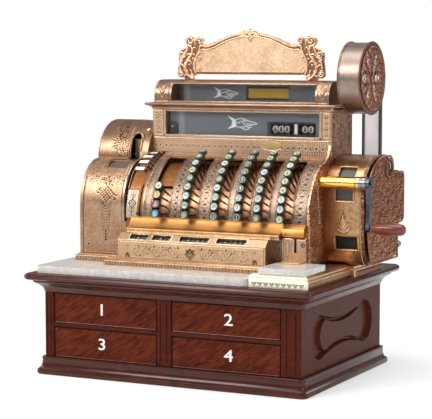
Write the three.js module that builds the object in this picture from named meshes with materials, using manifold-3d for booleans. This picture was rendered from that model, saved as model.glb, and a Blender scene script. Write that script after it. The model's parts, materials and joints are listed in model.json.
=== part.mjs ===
// A key-operated cash register of about 1910: an ornamented brass machine with five banks of
// amount keys, a bank of four coloured keys, a crank, a receipt printer and a paper drum.
// It stands on a mahogany cabinet of four drawers with a marble shelf along the front.
// Lengths are millimetres. X runs to the right, Y to the back and Z up, and the origin is the
// middle of the cabinet on the surface that it stands on.

import * as THREE from 'three';
import { mergeVertices } from 'three/addons/utils/BufferGeometryUtils.js';
import Module from 'manifold-3d';

const wasm = await Module();
wasm.setup();

// Gaps that the whole model shares
const fit = 0.3;        // between pieces that seat on each other
const slideGap = 1;     // round a drawer in its opening
const overrun = 3;      // how far a cutter passes the face that it opens

// Facet counts
const facets = { quarter: 6, round: 26, medium: 14, small: 9, tiny: 5, corner: 3 };

// Mahogany cabinet
const cabinet = {
  halfWidth: 300, halfDepth: 220, plinthHeight: 38, caseHeight: 140, topHeight: 41,
  sideWall: 16, backWall: 10,
};
const plinthEdge = {
  overhang: 17, cornerRadius: 12,
  profileShares: [
    [0.8, 0], [0.97, 0.05], [1, 0.16], [0.95, 0.28], [0.78, 0.34], [0.62, 0.42],
    [0.52, 0.6], [0.48, 0.82], [0.53, 0.88], [0.5, 0.96], [0.42, 1],
  ],
};
const topEdge = {
  overhang: 36.7, cornerRadius: 14,
  profileShares: [
    [0.08, 0], [0.13, 0.02], [0.15, 0.1], [0.2, 0.22], [0.31, 0.35], [0.48, 0.45],
    [0.6, 0.52], [0.63, 0.59], [0.6, 0.655], [0.86, 0.66], [0.96, 0.71], [1, 0.83],
    [0.96, 0.94], [0.87, 1],
  ],
};
const sideField = {
  halfLength: 171, lobeLength: 47, halfHeight: 47, waist: 29, depth: 9,
  panelHalfLength: 119, panelLobe: 30, panelHalfHeight: 32, panelWaist: 18,
  panelSlope: 4, panelSink: 2, steps: 8,
};
const faceFrame = {
  thickness: 20, leftStile: 21, centreStile: 33, rightStile: 45, rail: 8, centreShare: 0.481,
  fluteRadius: 2.4, fluteShares: [0.28, 0.72], fluteMargin: 9,
};
const divider = { partition: 13 };
const drawer = {
  frontThickness: 18, frontRecess: 1.5, backGap: 70.5, boxWall: 8, boxFloor: 6, boxHeight: 50,
  dovetail: 3,
};

// Marble shelf and the small receipt shelf on the right
const marble = { frontY: -236, leftX: -316, thickness: 16, endX: 185, cornerRadius: 14 };
const receiptShelf = {
  leftX: 205, frontY: -226, backY: -118, thickness: 12, cornerRadius: 5,
};

// Brass machine: outer planes and levels
const machine = {
  leftX: -285, rightX: 266, backY: 150, frontY: -105, faceY: 10, baseHeight: 31, sideX: 310,
  tongueLeftX: -187, tongueY: -150,
};
const baseEdge = {
  overhang: 6, cornerRadius: 3, sideStepDown: 4, pedestalFrontY: -228,
  profileShares: [[1, 0], [1, 0.52], [1, 0.6], [0.7, 0.68], [0.9, 0.78], [0.9, 0.86], [0.3, 0.93], [0.05, 1]],
};

// The base's step out under the receipt printer
const printerBase = { rightX: 322, frontY: 2 };

// The banks of keys lie on a cylinder whose axis runs along X
const bank = {
  axisY: 34.6, axisRise: 81, plateRadius: 140.5, plateThickness: 4,
  slideLeftX: -165, plateLeftX: -125, sideX: 261,
  slotFromAngle: -2, slotToAngle: 68,
  slotCentreShares: [0.1166, 0.2966, 0.4767, 0.6166, 0.7319, 0.8692],
  slotWidthShares: [0.1088, 0.101, 0.0984, 0.0881, 0.0855, 0.0907],
};
const keyFrame = { plateGap: 18.5, thickness: 14, sideMargin: 3, topAngle: 74 };
const key = {
  faceRadius: 167.5, pitch: 20.8, firstAngle: 5.8, capRadius: 8.9, capHeight: 8.5,
  dishRadius: 7.6, dish: 1.2, bevel: 1.3, stemRadius: 2.6, stemReach: 10,
  boreClearance: 0.4, perBank: 9, colouredKeys: 4, movingRow: 4, capFacets: 8, stemFacets: 4,
};

// Cover at the left, the barrel cover behind it and the slide bank beside it
const housing = {
  frontY: -95, springRise: 104, crownHeight: 99, crownDepth: 78, rimWidth: 7, rimHeight: 2,
  windowCentreShare: 0.585, windowWidth: 49, windowAngles: [59, 81], windowDepth: 6,
};
const barrel = {
  axisY: 68, radius: 84, wall: 4, endWall: 4,
  archCentreShare: 0.74, archWidth: 24, archTopAngle: 42,
};
const slideBank = {
  seamWidth: 4, seamDepth: 6, seamAngles: [-2, 76],
  slitX: -131, slitWidth: 3.2, slitDepth: 12, slitAngles: [2, 32],
  plateWidth: 27, plateLift: 1.2, plateAngles: [4.5, 30],
  labelAngles: [49, 58, 66.5, 74], labelHeight: 6.5, labelWidth: 20, labelInset: 3, labelLift: 1.2,
  studAngles: [50, 55, 60, 65, 70, 75], studInset: 4, studRadius: 2.2, studHeight: 3,
};
const slideLever = {
  thickness: 2.4, shankWidth: 6, footDepth: 11.7, reach: 9, angle: 5,
  knobRadius: 3.4, knobTaperShare: 0.8, knobHeight: 6,
};

// Right side casting, outside the banks, and the cover at the back
const sideCasting = { radius: 146, flareAngle: 58, flareRise: 31, backWall: 4 };

// Front counter box with its four windows, the polished ledge above it and the lock block
const counter = {
  leftX: -160, rightX: 188, height: 54, slopeDepth: 14, slopeHeight: 13,
  windowShares: [[0.078, 0.204], [0.233, 0.359], [0.42, 0.618], [0.67, 0.868]],
  windowInset: 2.4, wheelAxisDepth: 15, chamberRadius: 11, chamberEndShares: [0.055, 0.9],
  keyholeRadius: 4, keyholeDepth: 5, keyholeY: -119, keyholeDrop: 21,
};
const counterWheels = {
  radius: 10.2, spindleRadius: 3, spindleReach: 9, grooveDepth: 1.2, grooveWidth: 1,
  digitsPerWindow: [2, 2, 3, 3], wheelMargin: 1.5,
};
const ledge = { leftX: -149, rightX: 210, lip: 8, lipTurn: [110, 250], frontY: -135, rise: 35 };
const lockBlock = {
  width: 53.7, depth: 10, height: 60.5, slotCentreShare: 0.56, slotWidth: 5, slotHeight: 30,
  slotDepth: 6, slotTopDrop: 3, topBevel: 5,
};
const lockPlug = {
  radius: 5, faceReach: 1.5, depth: 7, xShare: 0.86, drop: 16, keywayWidth: 1.4, keywayShare: 0.6,
};

// Lower indicator with its number wheels, cornice, upper indicator and sign
const indicator = {
  leftX: -159, rightX: 266, backY: 130, bottomRise: 216, topRise: 315,
  ovalX: 128, ovalDrop: 19, ovalHalfWidth: 21, ovalHalfHeight: 7,
  windowLeftX: -126, windowRightX: 240, windowBottomRise: 260, windowTopRise: 311,
  frameWidth: 5, frameLift: 2.5, glassSetback: 6, glassThickness: 2,
  panelSetback: 14, panelMargin: 0.8,
};
const numberWheels = {
  radius: 12, width: 11, pitch: 13.6, digits: 10, leftGroupX: 131, leftCount: 3,
  rightGroupX: 200, rightCount: 2, spindleRadius: 2.6, spindleReach: 5, chamberClearance: 1,
  chamberLeftX: 119, chamberRightX: 225, webX: 178, webWidth: 4, centreRise: 275.5,
};
const indicatorCornice = {
  overhang: 15, height: 14, cornerRadius: 4,
  profileShares: [
    [0, 0], [0.2, 0.02], [0.25, 0.3], [0.5, 0.36], [0.55, 0.55], [0.9, 0.62], [1, 0.75], [1, 0.9],
    [0.92, 1],
  ],
};
const upperBox = {
  leftX: -157, rightX: 260, frontY: 12, backY: 128, height: 50, roundRadius: 34,
  windowLeftX: -115, windowRightX: 228, floor: 4, roof: 8,
  glassSetback: 30, glassThickness: 2, panelSetback: 38, panelMargin: 0.6,
};
const flagDrum = {
  leftX: 54, length: 97, side: 22, setback: 1, drop: 1, chamberClearance: 1.2,
  spindleRadius: 2.5, spindleReach: 4,
};
const sign = {
  centreX: 60, y: 50, thickness: 4, halfWidth: 175, height: 111, borderThickness: 8,
  voluteThickness: 11,
  outlineShares: [
    [0.07, 0.955], [0.115, 0.925], [0.25, 0.885], [0.39, 0.81], [0.52, 0.72], [0.59, 0.69], [0.66, 0.7],
    [0.72, 0.76], [0.79, 0.8], [0.85, 0.7], [0.89, 0.62], [0.955, 0.585], [0.99, 0.49], [0.985, 0.36],
    [1, 0.226], [1, 0.113], [0.96, 0.06], [0.915, 0.05], [0.9, 0], [0.79, 0], [0.79, 0.075], [0.73, 0.113],
  ],
  innerShares: [
    [0, 0.86], [0.12, 0.85], [0.27, 0.8], [0.4, 0.715], [0.52, 0.63], [0.6, 0.6], [0.66, 0.61],
    [0.73, 0.52], [0.74, 0.4], [0.78, 0.28], [0.76, 0.16],
  ],
  voluteShares: [
    [0.69, 0.78, 0.045], [0.825, 0.755, 0.07], [0.935, 0.49, 0.055], [0.955, 0.12, 0.05],
    [0, 0.92, 0.055],
  ],
};

// Receipt printer at the right side of the machine
const printer = {
  rightX: 350, frontY: -26, footY: 2, swellRise: 80, springRise: 153, topRise: 224,
  crownDepth: 98, backY: 121, windowLeftX: 293, windowRightX: 330,
  lowWindowRises: [136, 160], slotRises: [34, 61], slotLeftX: 292, slotRightX: 340,
  windowDepth: 8, slotDepth: 18, crownWindowAngles: [25, 46],
};
const sidePlate = {
  thickness: 7, frontMargin: 3, rearY: 187, lobeY: 94, lobeRise: 199, lobeRadius: 28,
  lugTopRise: 188, lugBottomRise: 76, neckY: 150, lugCorner: 12,
  bossY: 88, bossRadius: 20.5, bossHoleRadius: 14.5, bossHeight: 4, bossHoleDepth: 6,
};
const feedBox = {
  frontY: 78, backY: 149, bottomRise: 18, topRise: 40, width: 8,
  knobRadius: 8.5, knobLength: 12, knobBevel: 1.5, knobNeck: 2, spindleRadius: 3, spindleReach: 12,
};
const guideBox = { leftX: 270, backY: 186, bottomRise: 76, topRise: 186, slotDepth: 14, slotMargin: 3 };

// Crank on the right
const crank = {
  y: -46, rise: 171.5, journalRadius: 8, journalStartX: 238, sleeveRadius: 12.5, sleeveEndX: 349,
  collarRadius: 14, collarNeckRadius: 10.5, collarBand: 6, collarEndX: 369.5, armThickness: 8, armThrow: 92.5,
  armHubRadius: 12.5, armEndRadius: 8.5, armWaistShare: 0.55, spindleRadius: 4, spindleLength: 66,
  boltRadius: 6.5, boltHeight: 3,
};
const grip = {
  gap: 3, length: 73, boreClearance: 0.4, endClearance: 1,
  radius: 13.7,
  profileShares: [
    [0.62, 0], [0.66, 0.05], [0.8, 0.14], [0.95, 0.35], [1, 0.6], [0.96, 0.8], [0.8, 0.94], [0.45, 1],
  ],
};

// Paper drum on its two rods
const drum = {
  leftX: 284.5, rightX: 334.5, axisY: 72, axisZ: 635, radius: 76, wall: 3, sideWall: 3,
  lipWidth: 4, lipHeight: 1.5, hubRadius: 5, hubLength: 42,
  rodGap: 34, rodWidth: 4, rodDepth: 12, rodY: 131, rodStopDrop: 22,
  slotMargin: 2, slotStopDrop: 20,
};
const grille = {
  thickness: 3, ringWidth: 7, hubRadius: 11, hubLift: 2, bar: 4, petals: 6, facets: 10,
  petalRadius: 38, petalHalfLength: 30, petalHalfWidth: 14,
  budRadius: 48, budHalfLength: 20, budHalfWidth: 9,
};
const paper = { rollRadius: 64, rollMargin: 4, boreClearance: 0.5, webThickness: 0.8, webMargin: 1.2 };

// Levels and planes that follow from the sizes above
const caseBottom = cabinet.plinthHeight;
const caseTop = caseBottom + cabinet.caseHeight;
const shelfLevel = caseTop + cabinet.topHeight;
const machineFloor = shelfLevel + machine.baseHeight;
const bankAxis = [bank.axisY, machineFloor + bank.axisRise];
const indicatorBottom = machineFloor + indicator.bottomRise;
const indicatorTop = machineFloor + indicator.topRise;
const upperBottom = indicatorTop + indicatorCornice.height;
const upperTop = upperBottom + upperBox.height;
const barrelAxisZ = machineFloor + housing.springRise + housing.crownHeight;

// Colours and finishes
const finish = (color, roughness, metalness) =>
  new THREE.MeshStandardMaterial({ color, roughness, metalness });
const finishes = {
  mahogany: finish(0x4a1a12, 0.35, 0),
  mahoganyFront: finish(0x6b2416, 0.32, 0),
  marble: finish(0xd6d6d2, 0.25, 0),
  brass: finish(0xc8966a, 0.36, 1),
  paleBrass: finish(0xd9b78a, 0.4, 1),
  darkBrass: finish(0x8a5a3c, 0.45, 1),
  polishedBrass: finish(0xd9952a, 0.15, 1),
  steel: finish(0x9a9da0, 0.25, 1),
  gripWood: finish(0x7a3420, 0.3, 0),
  glass: new THREE.MeshStandardMaterial({
    color: 0xaab4b8, roughness: 0.05, metalness: 0, transparent: true, opacity: 0.3,
  }),
  panel: finish(0x565b61, 0.6, 0),
  wheels: finish(0x1a1a1a, 0.5, 0),
  flag: finish(0xc9a227, 0.5, 0),
  paper: finish(0xe8e4ee, 0.8, 0),
  keyGreen: finish(0x9aa68a, 0.3, 0.1),
  keyBlue: finish(0x3f7fb5, 0.3, 0.1),
  keyPink: finish(0xb0647a, 0.3, 0.1),
  keyYellow: finish(0xc9b84a, 0.3, 0.1),
  keyWhite: finish(0xdad6c8, 0.3, 0.1),
};

// A closed geometry as a solid: only its places are kept, and faces that have collapsed are dropped
function solid(geometry) {
  const bare = new THREE.BufferGeometry();
  bare.setAttribute('position', geometry.attributes.position.clone());
  if (geometry.index) bare.setIndex(geometry.index.clone());
  const merged = mergeVertices(bare);
  const corners = merged.index.array;
  const kept = [];
  for (let i = 0; i < corners.length; i += 3) {
    const [a, b, c] = [corners[i], corners[i + 1], corners[i + 2]];
    if (a !== b && b !== c && c !== a) kept.push(a, b, c);
  }
  return new wasm.Manifold(new wasm.Mesh({
    numProp: 3,
    vertProperties: new Float32Array(merged.attributes.position.array),
    triVerts: new Uint32Array(kept),
  }));
}

function join(...parts) {
  return parts.reduce((whole, part) => whole.add(part));
}

function cut(whole, ...tools) {
  return tools.reduce((rest, tool) => rest.subtract(tool), whole);
}

function toGeometry(manifold) {
  const data = manifold.getMesh();
  const places = new Float32Array((data.vertProperties.length / data.numProp) * 3);
  for (let i = 0; i < places.length / 3; i += 1) {
    for (let k = 0; k < 3; k += 1) places[i * 3 + k] = data.vertProperties[i * data.numProp + k];
  }
  const geometry = new THREE.BufferGeometry();
  geometry.setAttribute('position', new THREE.BufferAttribute(places, 3));
  geometry.setIndex(new THREE.BufferAttribute(new Uint32Array(data.triVerts), 1));
  geometry.computeVertexNormals();
  return geometry;
}

// Points of an elliptical arc in a plane, with its angles in degrees
function arc(u, v, radiusU, radiusV, from, to, count) {
  const points = [];
  for (let i = 0; i <= count; i += 1) {
    const angle = THREE.MathUtils.degToRad(from + ((to - from) * i) / count);
    points.push([u + radiusU * Math.cos(angle), v + radiusV * Math.sin(angle)]);
  }
  return points;
}

function circle(u, v, radius, count) {
  return arc(u, v, radius, radius, 0, 360, count).slice(0, -1);
}

function rectangle(u0, u1, v0, v1) {
  return [[u0, v0], [u1, v0], [u1, v1], [u0, v1]];
}

function roundedRectangle(u0, u1, v0, v1, radius, count = facets.corner) {
  return [
    ...arc(u1 - radius, v0 + radius, radius, radius, 270, 360, count),
    ...arc(u1 - radius, v1 - radius, radius, radius, 0, 90, count),
    ...arc(u0 + radius, v1 - radius, radius, radius, 90, 180, count),
    ...arc(u0 + radius, v0 + radius, radius, radius, 180, 270, count),
  ];
}

// Where the axes of a flat outline (u, v) and its depth lie: along X the outline is (y, z),
// along Y it is (x, z) and along Z it is (x, y)
const directions = {
  x: new THREE.Vector3(1, 0, 0), y: new THREE.Vector3(0, 1, 0), z: new THREE.Vector3(0, 0, 1),
};
function placeAlong(geometry, axis, from, to) {
  const place = new THREE.Matrix4();
  if (axis === 'x') place.makeBasis(directions.y, directions.z, directions.x).setPosition(from, 0, 0);
  const { x, y, z } = directions;
  if (axis === 'y') place.makeBasis(x, z, y.clone().negate()).setPosition(0, to, 0);
  if (axis === 'z') place.setPosition(0, 0, from);
  return geometry.applyMatrix4(place);
}

// An outline drawn out along an axis, with holes where they are given
function prism(axis, outline, from, to, holes = []) {
  const toVector = ([u, v]) => new THREE.Vector2(u, v);
  const edge = outline.map(toVector);
  if (THREE.ShapeUtils.isClockWise(edge)) edge.reverse();
  const shape = new THREE.Shape(edge);
  shape.holes = holes.map((hole) => new THREE.Path(hole.map(toVector)));
  const geometry = new THREE.ExtrudeGeometry(shape, { depth: to - from, bevelEnabled: false });
  return solid(placeAlong(geometry, axis, from, to));
}

function block(x0, x1, y0, y1, z0, z1) {
  return prism('z', rectangle(x0, x1, y0, y1), z0, z1);
}

function rod(axis, u, v, radius, from, to, count = facets.medium) {
  return prism(axis, circle(u, v, radius, count), from, to);
}

// A turned piece: profile points are [radius, distance along the axis]
function turned(axis, u, v, profile, count = facets.medium) {
  const geometry = new THREE.LatheGeometry(profile.map(([r, h]) => new THREE.Vector2(r, h)), count);
  const place = new THREE.Matrix4();
  if (axis === 'x') place.makeBasis(directions.z, directions.x, directions.y).setPosition(0, u, v);
  if (axis === 'y') place.setPosition(u, 0, v);
  if (axis === 'z') place.makeBasis(directions.y, directions.z, directions.x).setPosition(u, v, 0);
  return solid(geometry.applyMatrix4(place));
}

// A solid through a stack of rings with as many points each, closed by a fan at both ends
function stack(rings) {
  const count = rings[0].length;
  const middle = (ring) => ring
    .reduce((sum, point) => sum.add(point), new THREE.Vector3())
    .divideScalar(count);
  const points = [...rings.flat(), middle(rings[0]), middle(rings[rings.length - 1])];
  const firstMiddle = points.length - 2;
  const lastMiddle = points.length - 1;
  const lastRing = (rings.length - 1) * count;
  const faces = [];
  for (let i = 0; i < count; i += 1) {
    const next = (i + 1) % count;
    for (let r = 0; r < lastRing; r += count) {
      faces.push(r + i, r + next, r + count + next, r + i, r + count + next, r + count + i);
    }
    faces.push(firstMiddle, next, i, lastMiddle, lastRing + i, lastRing + next);
  }
  const geometry = new THREE.BufferGeometry().setFromPoints(points);
  geometry.setIndex(faces);
  return solid(geometry);
}

// A board whose edge follows a moulding; each step is a share of the overhang and of the height
function mouldedBoard([x0, x1, y0, y1], z0, height, edge) {
  return stack(edge.profileShares.map(([outShare, upShare]) => {
    const out = edge.overhang * outShare;
    const ring = roundedRectangle(x0 - out, x1 + out, y0 - out, y1 + out, edge.cornerRadius);
    return ring.map(([x, y]) => new THREE.Vector3(x, y, z0 + height * upShare));
  }));
}

// A point at a radius and an angle above the front horizontal of the key banks' axis, as (y, z)
function bankPoint(radius, angle) {
  const turn = THREE.MathUtils.degToRad(angle);
  return [bankAxis[0] - radius * Math.cos(turn), bankAxis[1] + radius * Math.sin(turn)];
}

// The outline between two radii and two angles of the key banks
function bankSector(inner, outer, from, to, count) {
  return [
    ...arc(...bankAxis, inner, inner, 180 - from, 180 - to, count),
    ...arc(...bankAxis, outer, outer, 180 - to, 180 - from, count),
  ];
}

const root = new THREE.Group();
function addPiece(name, manifold, material, parent = root) {
  const mesh = new THREE.Mesh(toGeometry(manifold), material);
  mesh.name = name;
  parent.add(mesh);
  return mesh;
}

// Cabinet: plinth, moulded top, sides with a sunk waisted field, back with partition, front frame
const caseBox = [-cabinet.halfWidth, cabinet.halfWidth, -cabinet.halfDepth, cabinet.halfDepth];

function waistedRing(x, halfLength, lobe, halfHeight, waist) {
  const reach = halfLength - lobe;
  const middleZ = (caseBottom + caseTop) / 2;
  const edge = [];
  for (let i = 0; i < sideField.steps; i += 1) {
    const share = (2 * i) / sideField.steps - 1;
    edge.push([share * reach, waist + (halfHeight - waist) * share * share]);
  }
  const end = arc(reach, 0, lobe, halfHeight, 90, -90, facets.quarter);
  const half = [...edge, ...end.slice(0, -1)];
  const ring = [...half, ...half.map(([y, z]) => [-y, -z])];
  return ring.reverse().map(([y, z]) => new THREE.Vector3(x, y, middleZ + z));
}

function sidePanel(side) {
  const { halfWidth, halfDepth, sideWall } = cabinet;
  const inner = halfWidth - sideWall;
  const panel = block(inner, halfWidth, -halfDepth + faceFrame.thickness + fit, halfDepth,
    caseBottom + fit, caseTop - fit);
  const f = sideField;
  const sunkRing = (x, grow) => waistedRing(x, f.halfLength + grow, f.lobeLength,
    f.halfHeight + grow, f.waist + grow);
  const fieldRing = (x, grow) => waistedRing(x, f.panelHalfLength + grow, f.panelLobe,
    f.panelHalfHeight + grow, f.panelWaist + grow);
  const recess = stack([
    sunkRing(halfWidth - f.depth, -f.panelSlope),
    sunkRing(halfWidth, 0),
    sunkRing(halfWidth + overrun, 0),
  ]);
  const field = stack([
    fieldRing(halfWidth - f.depth - f.panelSink, f.panelSlope),
    fieldRing(halfWidth - f.panelSink, 0),
  ]);
  const right = join(cut(panel, recess), field);
  return side > 0 ? right : right.scale([-1, 1, 1]);
}

const frameOpenings = (() => {
  const { halfWidth } = cabinet;
  const centreX = -halfWidth + 2 * halfWidth * faceFrame.centreShare;
  const left = [-halfWidth + faceFrame.leftStile, centreX - faceFrame.centreStile / 2];
  const right = [centreX + faceFrame.centreStile / 2, halfWidth - faceFrame.rightStile];
  const railBottom = (caseBottom + caseTop - faceFrame.rail) / 2;
  const low = [caseBottom, railBottom];
  const high = [railBottom + faceFrame.rail, caseTop];
  return { centreX, railBottom, cells: [[left, high], [right, high], [left, low], [right, low]] };
})();

function faceFrameSolid() {
  const { halfWidth, halfDepth } = cabinet;
  const back = -halfDepth + faceFrame.thickness;
  const whole = block(-halfWidth, halfWidth, -halfDepth, back, caseBottom + fit, caseTop - fit);
  const holes = frameOpenings.cells.map(([[x0, x1], [z0, z1]]) =>
    block(x0, x1, -halfDepth - overrun, back + overrun,
      z0 === caseBottom ? z0 - overrun : z0, z1 === caseTop ? z1 + overrun : z1));
  const stiles = [
    [-halfWidth, faceFrame.leftStile],
    [frameOpenings.centreX - faceFrame.centreStile / 2, faceFrame.centreStile],
    [halfWidth - faceFrame.rightStile, faceFrame.rightStile],
  ];
  const flutes = stiles.flatMap(([x, width]) => faceFrame.fluteShares.map((share) =>
    rod('z', x + width * share, -halfDepth, faceFrame.fluteRadius,
      caseBottom + faceFrame.fluteMargin, caseTop - faceFrame.fluteMargin, facets.tiny)));
  return cut(whole, ...holes, ...flutes);
}

// The back board, with the partition and the boards between the drawers glued to it
function cabinetBackSolid() {
  const inner = cabinet.halfWidth - cabinet.sideWall - fit;
  const front = -cabinet.halfDepth + faceFrame.thickness + fit;
  const back = cabinet.halfDepth;
  const half = divider.partition / 2;
  const [low, high] = [caseBottom + fit, caseTop - fit];
  const partition = block(frameOpenings.centreX - half, frameOpenings.centreX + half, front, back, low, high);
  const boards = block(-inner, inner, front, back, frameOpenings.railBottom,
    frameOpenings.railBottom + faceFrame.rail);
  return join(block(-inner, inner, back - cabinet.backWall, back, low, high), partition, boards);
}

function drawerSolid([[x0, x1], [z0, z1]]) {
  const frontY = -cabinet.halfDepth + drawer.frontRecess;
  const boxY = frontY + drawer.frontThickness;
  const left = x0 + slideGap;
  const right = x1 - slideGap;
  const bottom = z0 + fit;
  const front = block(left, right, frontY, boxY, z0 + slideGap, z1 - slideGap);
  const boxBack = cabinet.halfDepth - drawer.backGap;
  const boxTop = bottom + drawer.boxHeight;
  const box = block(left, right, boxY - drawer.dovetail, boxBack, bottom, boxTop);
  const inside = block(left + drawer.boxWall, right - drawer.boxWall, boxY,
    boxBack - drawer.boxWall, bottom + drawer.boxFloor, boxTop + overrun);
  return cut(join(front, box), inside);
}

function addCabinet() {
  addPiece('cabinet_plinth', mouldedBoard(caseBox, 0, cabinet.plinthHeight, plinthEdge), finishes.mahogany);
  addPiece('cabinet_top', mouldedBoard(caseBox, caseTop, cabinet.topHeight, topEdge), finishes.mahogany);
  addPiece('cabinet_side_left', sidePanel(-1), finishes.mahogany);
  addPiece('cabinet_side_right', sidePanel(1), finishes.mahogany);
  addPiece('cabinet_back', cabinetBackSolid(), finishes.mahogany);
  addPiece('cabinet_front_frame', faceFrameSolid(), finishes.mahogany);
  frameOpenings.cells.forEach((cell, i) => {
    addPiece(`drawer_${i + 1}`, drawerSolid(cell), finishes.mahoganyFront);
  });
}
addCabinet();

// Marble shelf round the front and left of the machine's base, and the machine's base casting
const baseLeft = machine.leftX - baseEdge.overhang;
const baseFront = machine.frontY - baseEdge.overhang;
const tongueLeft = machine.tongueLeftX - baseEdge.overhang;
const tongueFront = machine.tongueY - baseEdge.overhang;
const backEdge = machine.backY + baseEdge.overhang;

function marbleShelfSolid() {
  const { leftX, frontY, endX, cornerRadius: r, thickness } = marble;
  const outline = [
    ...arc(leftX + r, frontY + r, r, r, 180, 270, facets.corner),
    ...arc(endX - fit - r, frontY + r, r, r, 270, 360, facets.corner),
    [endX - fit, tongueFront - fit], [tongueLeft - fit, tongueFront - fit],
    [tongueLeft - fit, baseFront - fit], [baseLeft - fit, baseFront - fit],
    [baseLeft - fit, backEdge], [leftX, backEdge],
  ];
  return prism('z', outline, shelfLevel + fit, shelfLevel + thickness);
}

function baseCasting() {
  const level = shelfLevel + fit;
  const height = machine.baseHeight - fit;
  const main = [machine.leftX, machine.rightX - baseEdge.overhang, machine.frontY, machine.backY];
  const tongue = [machine.tongueLeftX, counter.rightX, machine.tongueY, machine.frontY];
  const side = [marble.endX + baseEdge.overhang, machine.sideX,
    baseEdge.pedestalFrontY + baseEdge.overhang, machine.backY];
  const underPrinter = [machine.rightX, printerBase.rightX, printerBase.frontY, machine.backY];
  return join(
    mouldedBoard(main, level, height, baseEdge),
    mouldedBoard(tongue, level, height, baseEdge),
    mouldedBoard(side, level, height - baseEdge.sideStepDown, baseEdge),
    mouldedBoard(underPrinter, level, height - baseEdge.sideStepDown, baseEdge),
  );
}
const sideLevel = machineFloor - baseEdge.sideStepDown;

function addShelf() {
  addPiece('marble_shelf', marbleShelfSolid(), finishes.marble);
  addPiece('machine_base', baseCasting(), finishes.brass);
  const r = receiptShelf;
  const slab = roundedRectangle(r.leftX, machine.sideX, r.frontY, r.backY, r.cornerRadius);
  const top = sideLevel + fit + r.thickness;
  addPiece('receipt_marble', prism('z', slab, sideLevel + fit, top), finishes.marble);
}
addShelf();

// The machine's left cover: a quarter round over a straight front, with a raised rim at each end
const springZ = machineFloor + housing.springRise;
const housingAxis = [housing.frontY + housing.crownDepth, springZ];

function housingCrown(grow, from, to, steps) {
  return arc(...housingAxis, housing.crownDepth + grow, housing.crownHeight + grow, from, to, steps);
}

function housingOutline(grow, backY) {
  return [
    [housing.frontY - grow, machineFloor + fit], [backY, machineFloor + fit],
    [backY, springZ + housing.crownHeight + grow],
    ...housingCrown(grow, 90, 180, facets.quarter),
  ];
}

function leftHousing() {
  const right = bank.slideLeftX - fit;
  const body = prism('x', housingOutline(0, machine.backY), machine.leftX, right);
  const rim = housingOutline(housing.rimHeight, housingAxis[0]);
  const rims = [
    prism('x', rim, machine.leftX, machine.leftX + housing.rimWidth),
    prism('x', rim, right - housing.rimWidth, right),
  ];
  const [low, high] = housing.windowAngles;
  const centreX = machine.leftX + (right - machine.leftX) * housing.windowCentreShare;
  const sector = [
    ...housingCrown(-housing.windowDepth, 180 - low, 180 - high, facets.corner),
    ...housingCrown(overrun, 180 - high, 180 - low, facets.corner),
  ];
  const window = prism('x', sector, centreX - housing.windowWidth / 2, centreX + housing.windowWidth / 2);
  return cut(join(body, ...rims), window);
}

// Half-round cover behind it, open underneath, with an arch in its front beside the slide bank
function barrelCover() {
  const right = indicator.leftX - fit;
  const base = barrelAxisZ + fit;
  const half = (radius) => arc(barrel.axisY, base, radius, radius, 0, 180, 2 * facets.quarter);
  const inner = barrel.radius - barrel.wall;
  const below = base - overrun;
  const hollow = [[barrel.axisY + inner, below], ...half(inner), [barrel.axisY - inner, below]];
  const centreX = machine.leftX + (right - machine.leftX) * barrel.archCentreShare;
  const archRadius = barrel.archWidth / 2;
  const archTop = base + barrel.radius * Math.sin(THREE.MathUtils.degToRad(barrel.archTopAngle));
  const arch = [
    [centreX - archRadius, base - overrun], [centreX + archRadius, base - overrun],
    ...arc(centreX, archTop - archRadius, archRadius, archRadius, 0, 180, facets.quarter),
  ];
  return cut(
    prism('x', half(barrel.radius), machine.leftX, right),
    prism('x', hollow, machine.leftX + barrel.endWall, right - barrel.endWall),
    prism('y', arch, barrel.axisY - barrel.radius - overrun, barrel.axisY),
    prism('x', [...bankProfile(bank.plateRadius + fit, machine.faceY), [machine.faceY, base - overrun]],
      bank.slideLeftX - fit, right + overrun),
  );
}

// The curved fronts share one side view: a straight foot, then round to the indicator's face
function bankProfile(radius, backY = machine.faceY - fit) {
  const topAngle = THREE.MathUtils.radToDeg(Math.acos((bankAxis[0] - backY) / radius));
  return [
    ...arc(...bankAxis, radius, radius, 180 - topAngle, 180, 2 * facets.quarter),
    [bankAxis[0] - radius, machineFloor + fit],
  ];
}

function slideBankSolid() {
  const right = bank.plateLeftX - fit;
  const { plateRadius } = bank;
  const backY = machine.faceY - fit;
  const body = prism('x', [...bankProfile(plateRadius), [backY, machineFloor + fit]], bank.slideLeftX, right);
  const groove = (x, width, depth, [from, to]) => prism('x',
    bankSector(plateRadius - depth, plateRadius + overrun, from, to, facets.quarter), x, x + width);
  const raised = (x, width, lift, [from, to]) => prism('x',
    bankSector(plateRadius - overrun, plateRadius + lift, from, to, facets.corner), x, x + width);
  const s = slideBank;
  const plateX = bank.slideLeftX + s.seamWidth;
  const labelTurn = THREE.MathUtils.radToDeg(s.labelHeight / plateRadius) / 2;
  const labels = s.labelAngles.map((angle) =>
    raised(plateX + s.labelInset, s.labelWidth, s.labelLift, [angle - labelTurn, angle + labelTurn]));
  const studs = s.studAngles.map((angle) => solidAt(angle, right - s.studInset,
    new THREE.CylinderGeometry(s.studRadius, s.studRadius, s.studHeight * 2, facets.tiny), plateRadius));
  return join(
    cut(body, groove(bank.slideLeftX, s.seamWidth, s.seamDepth, s.seamAngles),
      groove(s.slitX - s.slitWidth / 2, s.slitWidth, s.slitDepth, s.slitAngles)),
    raised(plateX, s.plateWidth, s.plateLift, s.plateAngles), ...labels, ...studs);
}

// A turned geometry whose axis was Y, set so that the axis points out of the key banks at an angle
function solidAt(angle, x, geometry, radius) {
  const [y, z] = bankPoint(radius, angle);
  const turn = THREE.MathUtils.degToRad(180 - angle);
  return solid(geometry.clone().applyMatrix4(new THREE.Matrix4().makeRotationX(turn)).translate(x, y, z));
}

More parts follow.
